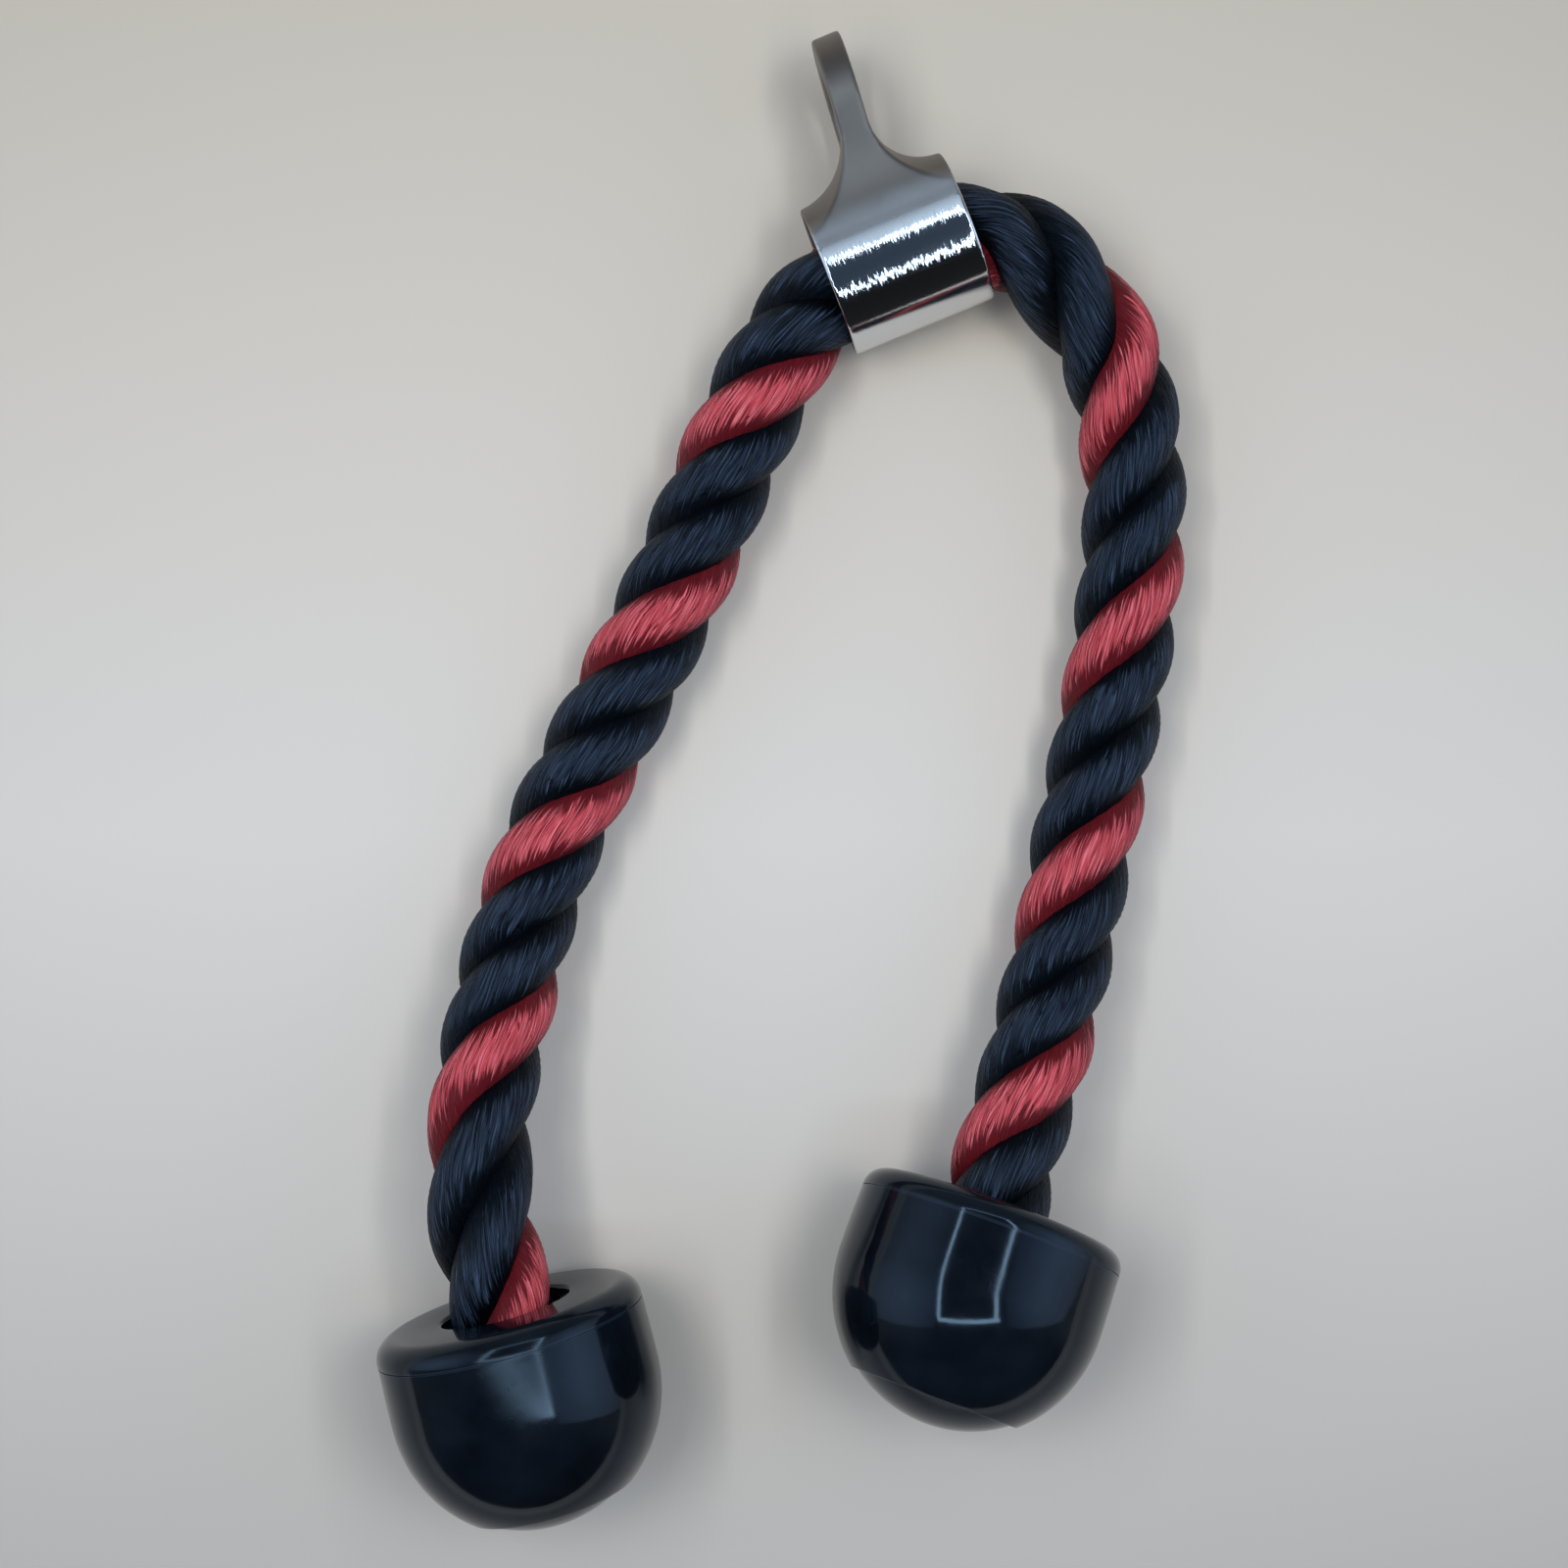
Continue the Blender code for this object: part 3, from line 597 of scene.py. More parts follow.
def polyline(name, points, closed=False, **settings):
    """A curve object that runs straight from point to point, with the curve's settings."""
    curve = bpy.data.curves.new(name, "CURVE")
    for setting, value in settings.items():
        setattr(curve, setting, value)
    spline = curve.splines.new("POLY")
    spline.points.add(len(points) - 1)
    for target, point in zip(spline.points, points):
        target.co = (*point, 1)
    spline.use_cyclic_u = closed
    return new_object(name, curve)


def strand_mesh(side, line, tree, look, turn, material):
    """One strand of a leg, turned by that many thirds of a turn."""
    drawn = polyline("strand_line", line, dimensions="3D")
    modifier = drawn.modifiers.new("lay", "NODES")
    modifier.node_group = tree
    opening, opening_start, opening_end = OPENED_LAYS[side]
    phase = math.radians(STRAND_PHASES[side]) + turn * math.tau / 3
    set_inputs(modifier, {
        "Phase": phase,
        "Pitch": PITCHES[side],
        "Lay Radius": look.lay_radius,
        "Strand Radius": look.strand_radius,
        "Yarn Height": look.yarn_height,
        "Opened Phase": phase + math.radians(opening),
        "Opening Start": opening_start,
        "Opening End": opening_end,
        "Seed": float(look.seed + 10 * turn - MOUTH_SIDES[side]),
        "Material": material,
    })
    return finished_mesh(drawn)


def joined_mesh(name, meshes, materials):
    """The meshes as one, each with the material of its place in the list."""
    editing = bmesh.new()
    for place, mesh in enumerate(meshes):
        mesh.polygons.foreach_set("material_index", [place] * len(mesh.polygons))
        editing.from_mesh(mesh)
        bpy.data.meshes.remove(mesh)
    bmesh.ops.recalc_face_normals(editing, faces=editing.faces)
    result = bpy.data.meshes.new(name)
    editing.to_mesh(result)
    editing.free()
    result.shade_smooth()
    for material in materials:
        result.materials.append(material)
    return result


def yarn_material(name, painted_shade, colour, painted_highlight, gloss):
    """Laid polypropylene multifilament: satin yarns that catch the light across their run, with
    fine fibres and short clefts between the bundles, painted highlights on the brightest
    fibres, and painted shade in the clefts and in the hollows between the strands."""
    material, add, shader = new_material(name)
    yarns_at = add("ShaderNodeUVMap", uv_map="UVMap")
    # Yarns wander 0.5 mm to each side over 9 mm
    wander_at = add("ShaderNodeMapping", {"Vector": yarns_at, "Scale": (1 / 0.004, 1 / 0.009, 1)})
    wander = add(
        "ShaderNodeTexNoise", {"Vector": wander_at, "Scale": 1.0, "Detail": 1.0},
        noise_dimensions="2D",
    )
    shift = add("ShaderNodeMapRange", {"Value": wander, "To Min": -0.001, "To Max": 0.001})
    offset = add("ShaderNodeCombineXYZ", [shift])
    bent = add("ShaderNodeVectorMath", [yarns_at, offset], operation="ADD")
    # Bundles 0.5 mm wide, clefts about 1 mm apart and 7 mm long, and fibres drawn 0.22 mm wide,
    # several times as coarse as real ones, which would be too fine to show
    streaks = {}
    for streak, width, length, detail in (
        ("bundles", 0.00052, 0.0070, 1.0),
        ("fibres", 0.00022, 0.0050, 2.0),
        ("seams", 0.0010, 0.0070, 0.0),
        ("parted", 0.0016, 0.0050, 1.0),
    ):
        stretched = add("ShaderNodeMapping", {"Vector": bent, "Scale": (1 / width, 1 / length, 1)})
        streaks[streak] = add(
            "ShaderNodeTexNoise",
            {"Vector": stretched, "Scale": 1.0, "Detail": detail, "Roughness": 0.6},
            noise_dimensions="2D",
        )
    crest = add("ShaderNodeAttribute", attribute_name="crest").outputs["Fac"]
    # Clefts follow the contour lines of the seams, and there are more of them down the flanks, as painted shade
    # where light grazes the yarns
    off_seam = add("ShaderNodeMath", [streaks["seams"], 0.5], operation="SUBTRACT")
    off_seam = add("ShaderNodeMath", [off_seam], operation="ABSOLUTE")
    line = add(
        "ShaderNodeMapRange",
        {"Value": off_seam, "From Min": 0.015, "From Max": 0.060, "To Min": 1.0, "To Max": 0.0},
        interpolation_type="SMOOTHSTEP",
    )
    loosened = add("ShaderNodeMath", [crest, -0.60, streaks["parted"]], operation="MULTIPLY_ADD")
    here = add(
        "ShaderNodeMapRange",
        {"Value": loosened, "From Min": 0.01, "From Max": 0.10},
        interpolation_type="SMOOTHSTEP",
    )
    cleft_with_painted_shade = add("ShaderNodeMath", [line, here], operation="MULTIPLY")
    # Clefts sink into the relief and are painted darker in the colour, as shade
    relief = tone = add("ShaderNodeMath", [cleft_with_painted_shade, -0.32], operation="MULTIPLY")
    for streak, raised, lit in (("fibres", 0.45, 0.7), ("bundles", 0.9, 0.4)):
        relief = add("ShaderNodeMath", [streaks[streak], raised, relief], operation="MULTIPLY_ADD")
        tone = add("ShaderNodeMath", [streaks[streak], lit, tone], operation="MULTIPLY_ADD")
    bump = add("ShaderNodeBump", {"Height": relief, "Strength": 1.0, "Distance": 0.0005})
    # Colour from dark to light: painted shade in the clefts, the yarn's own colour with its random tone, and
    # painted highlights on the brightest fibres
    tint = add("ShaderNodeValToRGB", {"Fac": tone}, [(0.24, painted_shade), (0.55, colour), (0.84, painted_highlight)])
    # Painted shade darkens the hollows between the strands as the crest falls away; the bundles come up out of it
    # one by one, like the teeth of a comb
    toothed = add("ShaderNodeMath", [streaks["bundles"], crest], operation="ADD")
    out_of_painted_shade = add("ShaderNodeMapRange", {"Value": toothed, "From Min": 1.18, "From Max": 1.42})
    with_painted_shade = add(
        "ShaderNodeMix", {"Factor": out_of_painted_shade, "A": linear(painted_shade), "B": tint}, data_type="RGBA"
    )
    across = add("ShaderNodeTangent", direction_type="UV_MAP", uv_map="UVMap")
    fill(shader, {
        "Base Color": with_painted_shade, "Normal": bump, "Tangent": across, "Roughness": 0.42,
        "Anisotropic": 0.7, "IOR": 1.49, "Specular IOR Level": 0.22,
        "Specular Tint": (*gloss, 1.0),
    })
    return material


class AddRope(bpy.types.Operator):
    """Lay the rope's three strands from the collar's middle to both ferrules"""

    bl_idname = "triceps_rope.rope"
    bl_label = "Rope"

    def execute(self, context):
        look = context.scene.rope_strand_look
        # Each strand's painted shade, its own colour, its painted highlight and its gloss tint
        black = yarn_material(
            "laid_polypropylene_black", "#010204", look.black, "#3C4C63", (0.55, 0.75, 1.0)
        )
        red = yarn_material(
            "laid_polypropylene_red", "#560F16", look.red, "#DC8089", (1.0, 0.85, 0.9)
        )
        tree = strand_tree()
        for side in MOUTH_SIDES:
            in_collar, _ = collar_arc(side)
            free = leg_line(side)
            line = in_collar[:-1] + free
            strands = [(0, red), (1, black), (2, black)]
            meshes = [
                strand_mesh(side, line, tree, look, turn, material) for turn, material in strands
            ]
            mesh = joined_mesh(side + "_laid_rope", meshes, [material for _, material in strands])
            rope = new_object(side + "_laid_rope", mesh)
            bend_end = point_along(free, BEND_LENGTHS[side])
            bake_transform(rope)
            covered = [f"rope_{side}_bend", f"rope_{side}_leg"]
            if side == "left":
                covered.append("rope_middle")
            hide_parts(*covered)
            whole = line_length(line)
            last = CORD_POINTS - 1
            path = [point_along(line, whole * step / last) for step in range(CORD_POINTS)]
        return {"FINISHED"}


# Eye fitting


def turned(name, profile, steps, closed=True):
    """A profile of (radius, height) points, outer side first and downwards, spun about Z."""
    count = len(profile)
    edges = [(index, index + 1) for index in range(count - 1)]
    if closed:
        edges.append((count - 1, 0))
    mesh = bpy.data.meshes.new(name)
    mesh.from_pydata([(across, 0, height) for across, height in profile], edges, [])
    made = new_object(name, mesh)
    screw = made.modifiers.new("turn", "SCREW")
    screw.axis = "Z"
    screw.angle = math.tau
    screw.steps = steps
    screw.render_steps = steps
    screw.use_merge_vertices = True
    screw.merge_threshold = WELD_DISTANCE
    return made


def both_halves(top):
    """A profile's points: its top half, and the same mirrored below."""
    return top + [(across, -height) for across, height in reversed(top)]


def keyhole_outline():
    """Collar circle and ring circle joined by hollow blends, seen along the bore."""
    to_collar = COLLAR_RADIUS + NECK_BLEND_RADIUS
    to_ring = RING_RADIUS + NECK_BLEND_RADIUS
    along = (RING_RISE**2 + to_collar**2 - to_ring**2) / (2 * RING_RISE)
    across = math.sqrt(to_collar**2 - along**2)
    collar_angle = math.atan2(across, along)
    ring_angle = math.atan2(across, along - RING_RISE)
    collar = arc((0, 0), COLLAR_RADIUS, collar_angle, math.tau - collar_angle, steps=120)
    low_blend = arc(
        (along, -across), NECK_BLEND_RADIUS, math.pi - collar_angle, math.pi - ring_angle, steps=24
    )
    ring = arc((RING_RISE, 0), RING_RADIUS, -ring_angle, ring_angle, steps=96)
    high_blend = arc(
        (along, across), NECK_BLEND_RADIUS, ring_angle - math.pi, collar_angle - math.pi, steps=24
    )
    return collar[:-1] + low_blend[:-1] + ring[:-1] + high_blend[:-1]


def saddle_profile():
    """Collar's ends and the hollow fillets from them to the flat ring, about the bore's axis."""
    shoulder = COLLAR_RADIUS + SHOULDER_LAND
    half_length = COLLAR_LENGTH / 2
    half_ring = RING_THICKNESS / 2
    reach = RING_RISE + RING_RADIUS + CUT_OVERRUN
    fillet_radius = half_length - half_ring
    fillet = arc(
        (shoulder + fillet_radius, half_length), fillet_radius, math.pi, 1.5 * math.pi, steps=40
    )
    return both_halves([(0, half_length), *fillet, (reach, half_ring)])


def bore_profile():
    """Rope bore, opening like a trumpet at both mouths."""
    flare = MOUTH_RADIUS - BORE_RADIUS
    half_length = COLLAR_LENGTH / 2
    mouth = []
    for step in range(MOUTH_STEPS + 1):
        share = step / MOUTH_STEPS
        depth = MOUTH_FLARE_LENGTH * share
        mouth.append((BORE_RADIUS + flare * (1 - share) ** 2, half_length - depth))
    beyond = half_length + CUT_OVERRUN
    return both_halves([(0, beyond), (MOUTH_RADIUS, beyond), *mouth])


def eye_hole_profile():
    """Hole of the ring, with rounded edges on both faces."""
    half_ring = RING_THICKNESS / 2
    edge_radius = EYE_HOLE_RADIUS + EYE_EDGE_ROUND
    edge = arc(
        (edge_radius, half_ring - EYE_EDGE_ROUND), EYE_EDGE_ROUND, math.pi / 2, math.pi, steps=8
    )
    beyond = half_ring + CUT_OVERRUN
    return both_halves([(0, beyond), (edge_radius, beyond), *edge])


def keyhole_blank(length):
    """The fitting's outline as a solid along the bore, X, with the ring towards Y."""
    outline = [(*point, 0) for point in keyhole_outline()]
    mesh = finished_mesh(polyline(
        "keyhole", outline, closed=True, dimensions="2D", fill_mode="BOTH", extrude=length / 2
    ))
    mesh.transform(Matrix(((0, 0, 1, 0), (1, 0, 0, 0), (0, 1, 0, 0), (0, 0, 0, 1))))
    weld(mesh)
    return new_object("chromed_eye_fitting", mesh)


def cut(target, cutter, operation):
    boolean = target.modifiers.new(cutter.name, "BOOLEAN")
    boolean.operation = operation
    boolean.solver = "EXACT"
    boolean.object = cutter


def cast_fitting(look):
    """The fitting in its place, with softened edges and a leaning ring."""
    fitting = keyhole_blank(COLLAR_LENGTH + 2 * CUT_OVERRUN)
    saddle = turned("saddle_cutter", saddle_profile(), steps=144, closed=False)
    bore = turned("bore_cutter", bore_profile(), steps=144, closed=False)
    hole = turned("eye_hole_cutter", eye_hole_profile(), steps=96, closed=False)
    hole.location = (0, RING_RISE, 0)
    for cutter in (saddle, bore, hole):
        cutter.rotation_euler = (0, math.pi / 2, 0)
    cut(fitting, saddle, "INTERSECT")
    cut(fitting, bore, "DIFFERENCE")
    cut(fitting, hole, "DIFFERENCE")
    skin = fitting.modifiers.new("skin", "REMESH")
    skin.mode = "VOXEL"
    skin.voxel_size = look.skin_voxel
    soften = fitting.modifiers.new("soften", "SMOOTH")
    soften.factor = 0.5
    soften.iterations = 10
    mesh = finished_mesh(fitting)
    for cutter in (saddle, bore, hole):
        drop(cutter)
    lean = math.tan(math.radians(RING_LEAN))
    for vertex in mesh.vertices:
        vertex.co.x += lean * max(0, vertex.co.y - COLLAR_RADIUS)
    mesh.transform(fitting_matrix())
    mesh.shade_smooth()
    return mesh


def chrome_material(look):
    """Chrome plate on a zinc casting: mirror bright where the collar was polished, satin grey
    on the web and the ring, with grains that sparkle."""
    material, add, shader = new_material("chrome_plated_zinc_casting")
    world = add("ShaderNodeTexCoord").outputs["Object"]
    place = fitting_matrix()
    local = add(
        "ShaderNodeMapping",
        {"Vector": world, "Location": place.translation, "Rotation": place.to_euler()},
        vector_type="TEXTURE",
    )
    axes = add("ShaderNodeSeparateXYZ", [local]).outputs
    # The polish ends in a soft, uneven border 1 to 8 mm above the bore's axis
    border = add("ShaderNodeTexNoise", {"Vector": local, "Scale": 180.0, "Detail": 3.0})
    uneven = add("ShaderNodeMapRange", {"Value": border, "To Min": -0.0008, "To Max": 0.0008})
    rise = add("ShaderNodeMath", [axes["Y"], uneven], operation="ADD")
    satin = add(
        "ShaderNodeMapRange",
        {"Value": rise, "From Min": 0.0008, "From Max": 0.0080},
        interpolation_type="SMOOTHSTEP",
    )
    rough = add("ShaderNodeMapRange", {"Value": satin, "To Min": 0.10, "To Max": 0.46})
    # The plate's colour stays bright a little further up than its polish
    greyed = add(
        "ShaderNodeMapRange",
        {"Value": rise, "From Min": 0.0040, "From Max": 0.0130},
        interpolation_type="SMOOTHSTEP",
    )
    colour = add(
        "ShaderNodeMix",
        {"Factor": greyed, "A": linear(look.chrome), "B": linear(look.satin)}, data_type="RGBA",
    )
    # Turning marks 0.3 mm wide and 3 mm long run round the collar and lean each its own way
    # along it, which frays the reflections; grains 0.4 mm wide cover the casting
    marks_at = add(
        "ShaderNodeMapping", {"Vector": local, "Scale": (1 / 0.0003, 1 / 0.0030, 1 / 0.0030)}
    )
    marks = add("ShaderNodeTexNoise", {"Vector": marks_at, "Scale": 1.0, "Detail": 2.0})
    lean = add(
        "ShaderNodeMapRange",
        {"Value": marks, "To Min": -look.mark_lean, "To Max": look.mark_lean}, clamp=False,
    )
    # The marks run from 12 mm below the bore's axis to 3 mm above it
    height = add("ShaderNodeMapRange", {"Value": rise, "From Min": -0.016, "From Max": 0.004})
    marked = add(
        "ShaderNodeValToRGB", {"Fac": height},
        [(0.20, "#000000"), (0.38, "#FFFFFF"), (0.82, "#FFFFFF"), (0.94, "#000000")],
    )
    lean = add("ShaderNodeMath", [lean, marked], operation="MULTIPLY")
    facing = add("ShaderNodeNewGeometry").outputs["Normal"]
    bore = place.to_3x3() @ Vector((1, 0, 0))
    round_collar = add("ShaderNodeVectorMath", [facing, bore], operation="CROSS_PRODUCT")
    leaning = add(
        "ShaderNodeVectorMath", {"Vector": round_collar, "Scale": lean}, operation="SCALE"
    )
    frayed = add("ShaderNodeVectorMath", [facing, leaning], operation="ADD")
    straight = add("ShaderNodeVectorMath", [frayed], operation="NORMALIZE")
    grains = add("ShaderNodeTexNoise", {"Vector": local, "Scale": 1 / 0.0004, "Detail": 1.0})
    relief = add(
        "ShaderNodeBump",
        {"Height": grains, "Strength": 0.5, "Distance": 0.00002, "Normal": straight},
    )
    fill(shader, {"Base Color": colour, "Metallic": 1.0, "Roughness": rough, "Normal": relief})
    return material


class AddFitting(bpy.types.Operator):
    """Cast and plate the eye fitting"""

    bl_idname = "triceps_rope.fitting"
    bl_label = "Eye fitting"

    def execute(self, context):
        look = context.scene.rope_fitting_look
        mesh = cast_fitting(look)
        mesh.materials.clear()
        mesh.materials.append(chrome_material(look))
        fitting = new_object("chromed_eye_fitting", mesh)
        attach(fitting, "fitting")
        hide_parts("eye_fitting")
        return {"FINISHED"}


# Stoppers


def dome_point(angle, wall=0.0):
    """A point of the cup's round bottom, moved inwards by a wall."""
    across = (STOPPER_RADIUS - wall) * math.cos(angle)
    fall = (CUP_DEPTH - WIDEST_DEPTH - wall) * math.sin(angle)
    return (across, -WIDEST_DEPTH - fall)


def dome_arc(start, end, steps, wall=0.0):
    return [dome_point(start + (end - start) * step / steps, wall) for step in range(steps + 1)]


def stopper_profile():
    """The lid, cup and bottom cap as one skin with an inner wall, from the rope hole outwards."""
    seam = STOPPER_RADIUS - SIDE_SWELL
    lid_top = LID_SKIRT + LID_EDGE_ROUND
    hole_edge = arc(
        (ROPE_HOLE_RADIUS + HOLE_EDGE_ROUND, lid_top - HOLE_EDGE_ROUND), HOLE_EDGE_ROUND,
        math.pi, math.pi / 2, steps=6,
    )
    lid_edge = arc(
        (seam - LID_EDGE_ROUND, lid_top - LID_EDGE_ROUND), LID_EDGE_ROUND,
        math.pi / 2, 0, steps=18,
    )
    groove = [
        (seam, SEAM_WIDTH), (seam - SEAM_DEPTH, SEAM_WIDTH / 2),
        (seam - SEAM_DEPTH, -SEAM_WIDTH / 2), (seam, -SEAM_WIDTH), (seam, -3 * SEAM_WIDTH),
    ]
    side = []
    for step in range(1, SIDE_STEPS + 1):
        share = step / SIDE_STEPS
        side.append((seam + SIDE_SWELL * math.sin(share * math.pi / 2), -WIDEST_DEPTH * share))
    cap_angle = math.acos(CAP_RADIUS / STOPPER_RADIUS)
    outer = dome_arc(0, cap_angle, steps=36)[1:]
    # The cup's rounded lip, and the cap set back inside it
    edge = Vector(outer[-1])
    onward = (edge - Vector(outer[-2])).normalized()
    outward = Vector((-onward.y, onward.x))
    centre = edge - outward * LIP_ROUND
    lip = []
    for step in range(1, LIP_STEPS + 1):
        turn = math.pi / 2 * step / LIP_STEPS
        lip.append(tuple(
            centre + onward * LIP_ROUND * math.sin(turn) + outward * LIP_ROUND * math.cos(turn)
        ))
    cap_start = cap_angle + 2 * LIP_ROUND / STOPPER_RADIUS
    bottom = dome_arc(cap_start, math.pi / 2, steps=24)
    cap = lip + [(across, height + CAP_STEP) for across, height in bottom]
    inner = dome_arc(math.pi / 2, 0, steps=24, wall=WALL)
    inside = lid_top - LID_PLATE
    ceiling = [(seam - WALL, 0), (seam - WALL, inside), (ROPE_HOLE_RADIUS, inside)]
    profile = hole_edge + lid_edge + groove + side + outer + cap + inner + ceiling
    return profile, groove[:4], lip[:4]


def plastic_material(look):
    """Injection-moulded ABS: deep gloss with a faint orange peel, a haze and hairline scuffs where
    the stoppers rubbed, a bloom of dust that greys it a little, and a painted highlight that
    lightens the seam and the cap's lip."""
    material, add, shader = new_material("injection_moulded_abs_black")
    world = add("ShaderNodeTexCoord").outputs["Object"]
    cloud = add("ShaderNodeTexNoise", {"Vector": world, "Scale": 70.0, "Detail": 4.0})
    # Rubbed patches high on both stoppers, each fading towards its reach
    rubbed = 0.0
    for place, radius, dullness in RUBBED_PLACES:
        away = add("ShaderNodeVectorMath", [world, place], operation="DISTANCE")
        patch = add(
            "ShaderNodeMapRange",
            {"Value": away, "From Min": 0.0, "From Max": radius,
             "To Min": dullness, "To Max": 0.0},
            interpolation_type="SMOOTHSTEP",
        )
        rubbed = add("ShaderNodeMath", [patch, rubbed], operation="MAXIMUM")
    blotch = add(
        "ShaderNodeTexNoise", {"Vector": world, "Scale": 160.0, "Detail": 5.0, "Roughness": 0.65}
    )
    smeared = add("ShaderNodeMapRange", {"Value": blotch, "From Min": 0.50, "From Max": 0.68})
    haze = add("ShaderNodeMath", [smeared, rubbed], operation="MULTIPLY")
    # Hairlines: contour lines of a slow noise, broken by the blotches
    field = add(
        "ShaderNodeTexNoise", {"Vector": world, "Scale": 190.0, "Detail": 1.0, "Distortion": 1.2}
    )
    hairline = add("ShaderNodeMath", [field, 0.5, 0.005], operation="COMPARE")
    broken = add("ShaderNodeMath", [blotch, 0.53], operation="GREATER_THAN")
    scuff = add("ShaderNodeMath", [hairline, broken], operation="MULTIPLY")
    scuff = add("ShaderNodeMath", [scuff, rubbed], operation="MULTIPLY")
    rough = add(
        "ShaderNodeMapRange",
        {"Value": cloud, "From Min": 0.35, "From Max": 0.7, "To Min": 0.07, "To Max": 0.12},
    )
    for surface_mark, dulling in ((rubbed, 0.20), (haze, 0.05), (scuff, 0.12)):
        rough = add("ShaderNodeMath", [surface_mark, dulling, rough], operation="MULTIPLY_ADD")
    peel = add("ShaderNodeTexNoise", {"Vector": world, "Scale": 260.0, "Detail": 2.0})
    relief = add("ShaderNodeBump", {"Height": peel, "Strength": 0.15, "Distance": 0.0001})
    rubbing_dust_and_highlight = add("ShaderNodeMath", [haze, 0.30, scuff], operation="MULTIPLY_ADD")
    rubbing_dust_and_highlight = add("ShaderNodeMath", [rubbing_dust_and_highlight, 0.12], operation="MULTIPLY")
    # Painted highlight: the seam and the cap's lip are painted lighter, as where those edges catch the light; the
    # dust cloud greys the rest a little
    edge = add("ShaderNodeAttribute", attribute_name="painted_edge_highlight").outputs["Fac"]
    for surface_mark, dust_and_highlight in ((edge, 0.40), (cloud, 0.12)):
        rubbing_dust_and_highlight = add("ShaderNodeMath", [surface_mark, dust_and_highlight, rubbing_dust_and_highlight], operation="MULTIPLY_ADD")
    tint = add("ShaderNodeValToRGB", {"Fac": rubbing_dust_and_highlight}, [(0.04, look.plastic), (1.0, "#4A5A70")])
    fill(shader, {
        "Base Color": tint, "Roughness": rough, "Normal": relief, "IOR": 1.54,
        "Specular IOR Level": 0.27, "Specular Tint": (0.62, 0.82, 1.0, 1.0),
    })
    return material


class AddStoppers(bpy.types.Operator):
    """Turn both stoppers, each with its lid, cup and bottom cap"""

    bl_idname = "triceps_rope.stoppers"
    bl_label = "Stoppers"

    def execute(self, context):
        look = context.scene.rope_stopper_look
        material = plastic_material(look)
        profile, seam_edge, cap_edge = stopper_profile()
        for side in MOUTH_SIDES:
            mesh = finished_mesh(turned("stopper_profile", profile, look.steps))
            # Kept for the material: the seam and the cap's lip, painted lighter as a highlight where those edges
            # catch the light
            rubbed = mesh.attributes.new("painted_edge_highlight", "FLOAT", "POINT")
            for vertex, mark in zip(mesh.vertices, rubbed.data):
                spot = Vector((vertex.co.xy.length, vertex.co.z))
                for edge, share in ((seam_edge, 0.4), (cap_edge, 1.0)):
                    if min((spot - Vector(point)).length for point in edge) < WELD_DISTANCE:
                        mark.value = share
            weld(mesh)
            mesh.transform(stopper_matrix(side))
            mesh.shade_smooth()
            mesh.set_sharp_from_angle(angle=math.radians(SHARP_ANGLE))
            mesh.materials.append(material)
            stopper = new_object(side + "_bell_stopper", mesh)
            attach(stopper, side + "_stopper")
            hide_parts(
                side + "_stopper_lid", side + "_stopper_cup", side + "_stopper_cap"
            )
        return {"FINISHED"}


class DressHardware(bpy.types.Operator):
    """Finish the ferrules, washers and rope ends that hold the stoppers"""

    bl_idname = "triceps_rope.hardware"
    bl_label = "Ferrules and washers"

    def execute(self, context):
        # Zinc-plated mild steel: dull grey with cloudy spangle
        steel, add, shader = new_material("zinc_plated_steel")
        world = add("ShaderNodeTexCoord").outputs["Object"]
        spangle = add(
            "ShaderNodeTexVoronoi", {"Vector": world, "Scale": 1 / 0.003}
        ).outputs["Color"]
        tone = add("ShaderNodeValToRGB", {"Fac": spangle}, [(0.0, "#8C9093"), (1.0, "#B4B7B9")])
        fill(shader, {"Base Color": tone, "Metallic": 1.0, "Roughness": 0.38})
        # Melted polypropylene rope end: black and lumpy
        fused, add, shader = new_material("heat_sealed_polypropylene")
        world = add("ShaderNodeTexCoord").outputs["Object"]
        lumps = add("ShaderNodeTexNoise", {"Vector": world, "Scale": 1 / 0.002, "Detail": 3.0})
        tone = add("ShaderNodeValToRGB", {"Fac": lumps}, [(0.0, "#07090D"), (1.0, "#1B222C")])
        relief = add("ShaderNodeBump", {"Height": lumps, "Strength": 0.6, "Distance": 0.0004})
        fill(shader, {"Base Color": tone, "Normal": relief, "Roughness": 0.45})
        for side in MOUTH_SIDES:
            for piece, material in (("ferrule", steel), ("washer", steel), ("rope_end", fused)):
                data = frame["nodes"][f"{side}_{piece}"].data
                data.materials.clear()
                data.materials.append(material)
        return {"FINISHED"}


# Stage


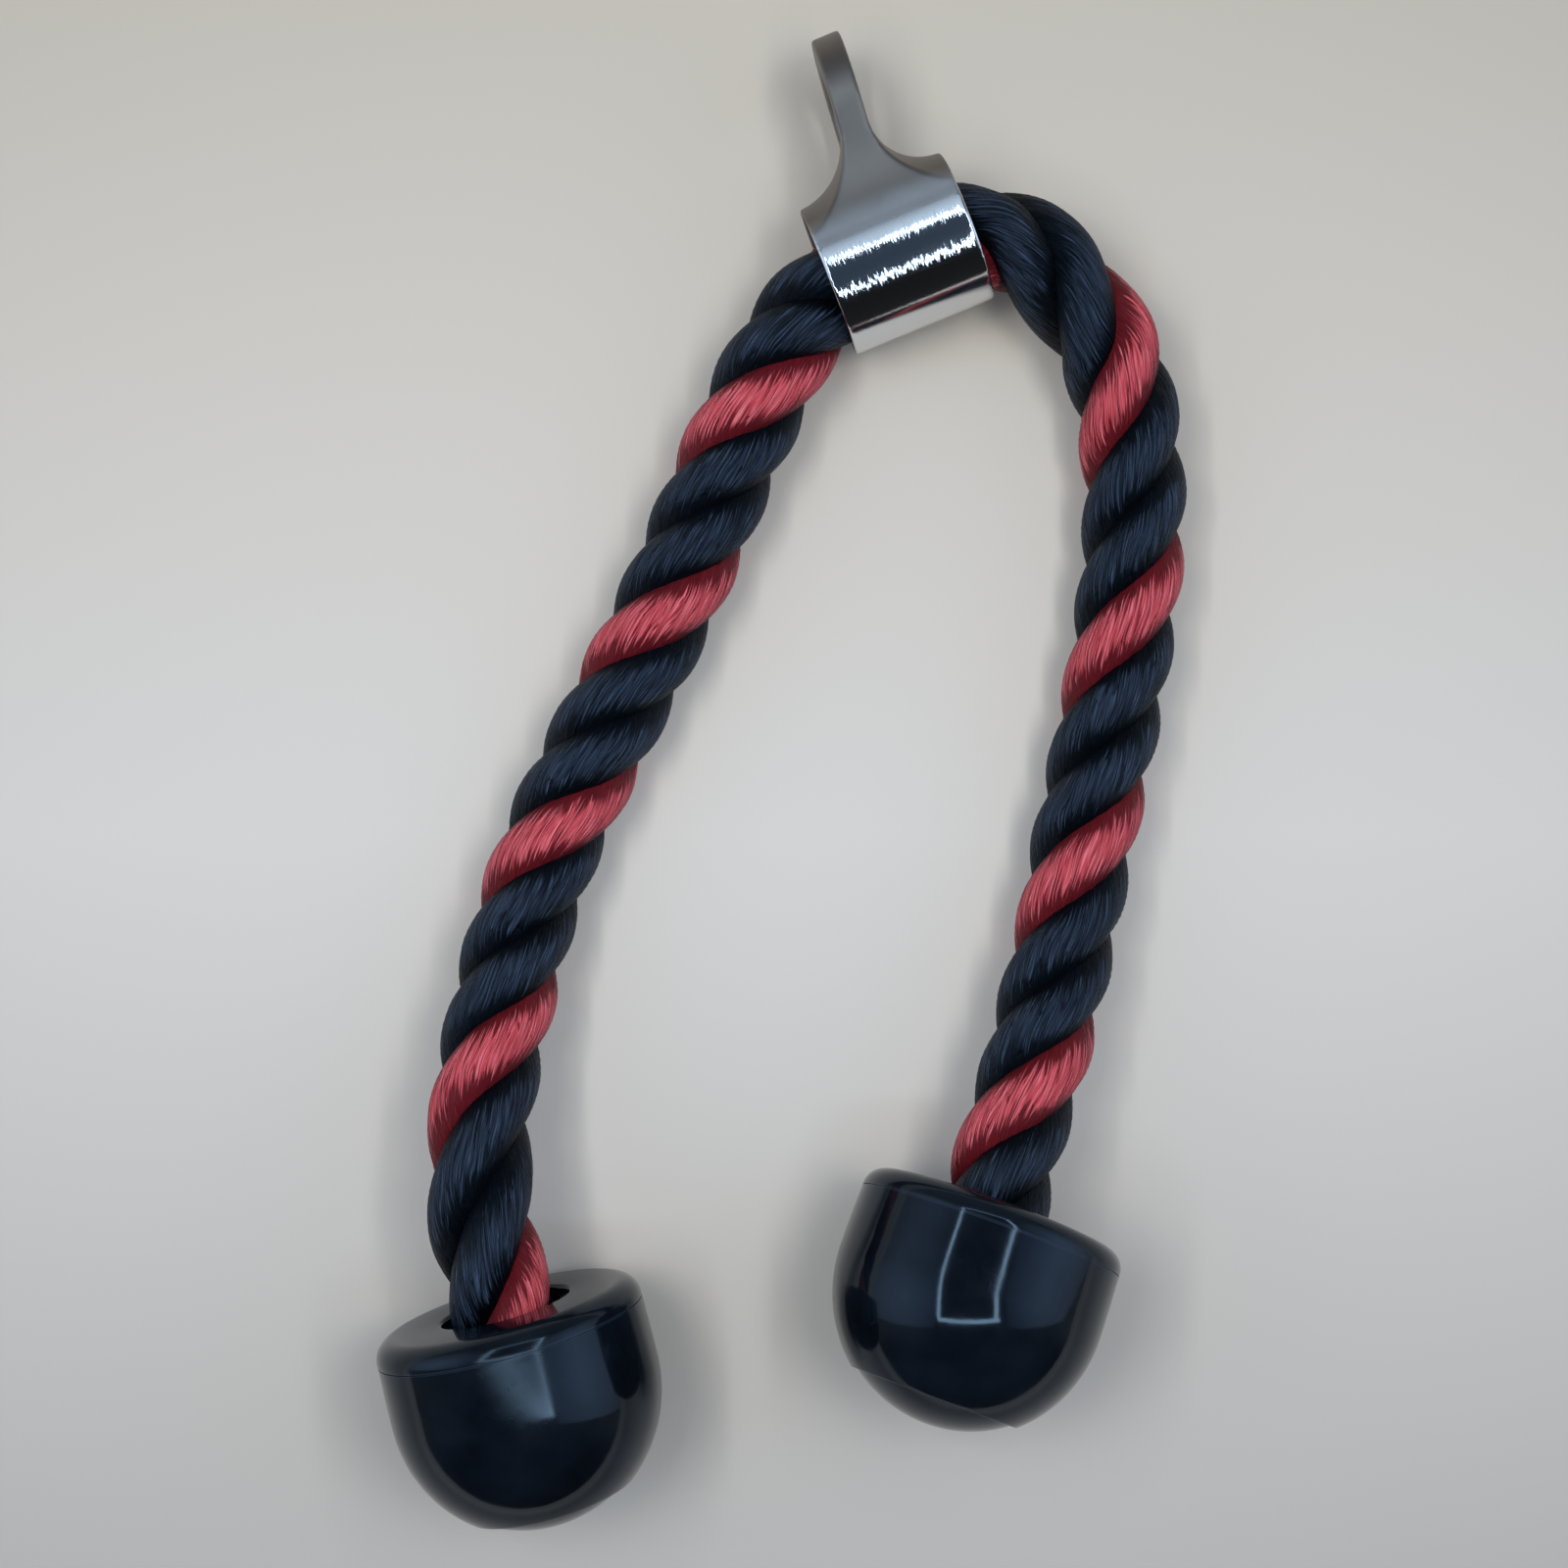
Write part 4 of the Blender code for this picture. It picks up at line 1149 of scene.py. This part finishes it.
def floor_material(look):
    """Matt painted board: pale warm grey, lightest between the rope's legs, with painted shade that darkens it
    behind the rope and towards the viewer.
    """
    material, add, shader = new_material("matt_painted_board")
    world = add("ShaderNodeTexCoord").outputs["Object"]
    axes = add("ShaderNodeSeparateXYZ", [world]).outputs
    # Painted light and shade: the colour steps from painted shade in front through the lit middle to painted shade
    # behind the rope
    depth = add("ShaderNodeMapRange", {"Value": axes["Y"], "From Min": -0.38, "From Max": 0.19})
    tint = add("ShaderNodeValToRGB", {"Fac": depth}, [
        (0.0, look.floor_front), (0.35, look.floor_near), (0.64, look.floor_middle),
        (1.0, look.floor_far),
    ])
    fill(shader, {"Base Color": tint, "Roughness": 0.85, "Specular IOR Level": 0.2})
    # Beyond the lamps' reach the camera and gloss see the board pass into the backdrop
    away = add("ShaderNodeVectorMath", [world], operation="LENGTH")
    far = add(
        "ShaderNodeMapRange",
        {"Value": away, "From Min": 0.27, "From Max": 0.60},
        interpolation_type="SMOOTHSTEP",
    )
    ray = add("ShaderNodeLightPath").outputs
    seen = add("ShaderNodeMath", [ray["Is Camera Ray"], ray["Is Glossy Ray"]], operation="MAXIMUM")
    pale = add("ShaderNodeMath", [far, seen], operation="MULTIPLY")
    backdrop = add("ShaderNodeEmission", {"Color": linear(BACKDROP)})
    whole = add("ShaderNodeMixShader", [pale, shader, backdrop])
    fill(material.node_tree.nodes["Material Output"], {"Surface": whole})
    return material


def soft_lamp(name, place, aim, size_x, size_y, radiance, colour, spread, in_gloss=True):
    """A rectangular soft lamp that faces a point; its power follows from its size and radiance. A
    lamp with less spread than a half turn fades towards its edges in a reflection."""
    lamp = bpy.data.lights.new(name, "AREA")
    lamp.shape = "RECTANGLE"
    lamp.size = size_x
    lamp.size_y = size_y
    lamp.energy = radiance * math.pi * size_x * size_y
    if spread < 180:
        lamp.spread = math.radians(spread)
        # A narrow spread throws its power ahead: keep the radiance there
        half = lamp.spread / 2
        lamp.energy *= 1 - half / math.tan(half)
    lamp.color = linear(colour)[:3]
    made = new_object(name, lamp)
    made.visible_camera = False
    made.visible_glossy = in_gloss
    forward = (Vector(aim) - Vector(place)).normalized()
    made.rotation_euler = forward.to_track_quat("-Z", "Y").to_euler()
    made.location = place


def make_world():
    """Inside of the tent: pale low on three sides, dark overhead and towards the open front."""
    world = bpy.data.worlds.new("light_tent")
    bpy.context.scene.world = world
    world.use_nodes = True
    add = partial(add_node, world.node_tree)
    direction = add("ShaderNodeTexCoord").outputs["Generated"]
    axes = add("ShaderNodeSeparateXYZ", [direction]).outputs
    rise = add(
        "ShaderNodeValToRGB", {"Fac": axes["Z"]},
        [(0.0, "#86888B"), (0.55, "#6E7175"), (0.88, "#364252")],
    )
    front = add(
        "ShaderNodeMapRange",
        {"Value": axes["Y"], "From Min": -0.62, "From Max": -0.25, "To Min": 0.07, "To Max": 1.0},
        interpolation_type="SMOOTHSTEP",
    )
    dimmed = add("ShaderNodeVectorMath", {"Vector": rise, "Scale": front}, operation="SCALE")
    seen = add("ShaderNodeLightPath").outputs["Is Camera Ray"]
    shown = add(
        "ShaderNodeMix", {"Factor": seen, "A": dimmed, "B": linear(BACKDROP)}, data_type="RGBA"
    )
    fill(world.node_tree.nodes["Background"], {"Color": shown})


class AddStage(bpy.types.Operator):
    """Set up the floor, the soft lamps, the world and the camera"""

    bl_idname = "triceps_rope.stage"
    bl_label = "Stage"

    def execute(self, context):
        look = context.scene.rope_stage_look
        half = look.floor_size / 2
        mesh = bpy.data.meshes.new("floor")
        corners = [(-half, -half, 0), (half, -half, 0), (half, half, 0), (-half, half, 0)]
        mesh.from_pydata(corners, [], [(0, 1, 2, 3)])
        mesh.materials.append(floor_material(look))
        floor = new_object("floor", mesh)
        floor.location.z = -FLOOR_DROP
        for lamp in LAMPS:
            soft_lamp(*lamp)
        make_world()
        camera = bpy.data.cameras.new("camera")
        camera.angle = math.radians(VIEW_ANGLE)
        made = new_object("camera", camera)
        made.location = CAMERA_PLACE
        context.scene.camera = made
        context.scene.view_settings.view_transform = "Standard"
        return {"FINISHED"}


class RopePanel(bpy.types.Panel):
    bl_idname = "VIEW3D_PT_triceps_rope"
    bl_label = "Triceps rope"
    bl_space_type = "VIEW_3D"
    bl_region_type = "UI"
    bl_category = "Triceps rope"

    def draw(self, context):
        for name, group in LOOKS.items():
            box = self.layout.box()
            for prop in group.__annotations__:
                box.prop(getattr(context.scene, name), prop)
        for operator in OPERATORS:
            self.layout.operator(operator.bl_idname)


OPERATORS = (AddStage, AddRope, AddFitting, AddStoppers, DressHardware)


def register():
    for group in LOOKS.values():
        bpy.utils.register_class(group)
    for name, group in LOOKS.items():
        setattr(bpy.types.Scene, name, PointerProperty(type=group))
    for operator in OPERATORS:
        bpy.utils.register_class(operator)
    bpy.utils.register_class(RopePanel)


def unregister():
    bpy.utils.unregister_class(RopePanel)
    for operator in reversed(OPERATORS):
        bpy.utils.unregister_class(operator)
    for name, group in LOOKS.items():
        delattr(bpy.types.Scene, name)
        bpy.utils.unregister_class(group)


def main():
    register()
    bpy.ops.triceps_rope.stage()
    bpy.ops.triceps_rope.rope()
    bpy.ops.triceps_rope.fitting()
    bpy.ops.triceps_rope.stoppers()
    bpy.ops.triceps_rope.hardware()


if __name__ == "__main__":
    main()
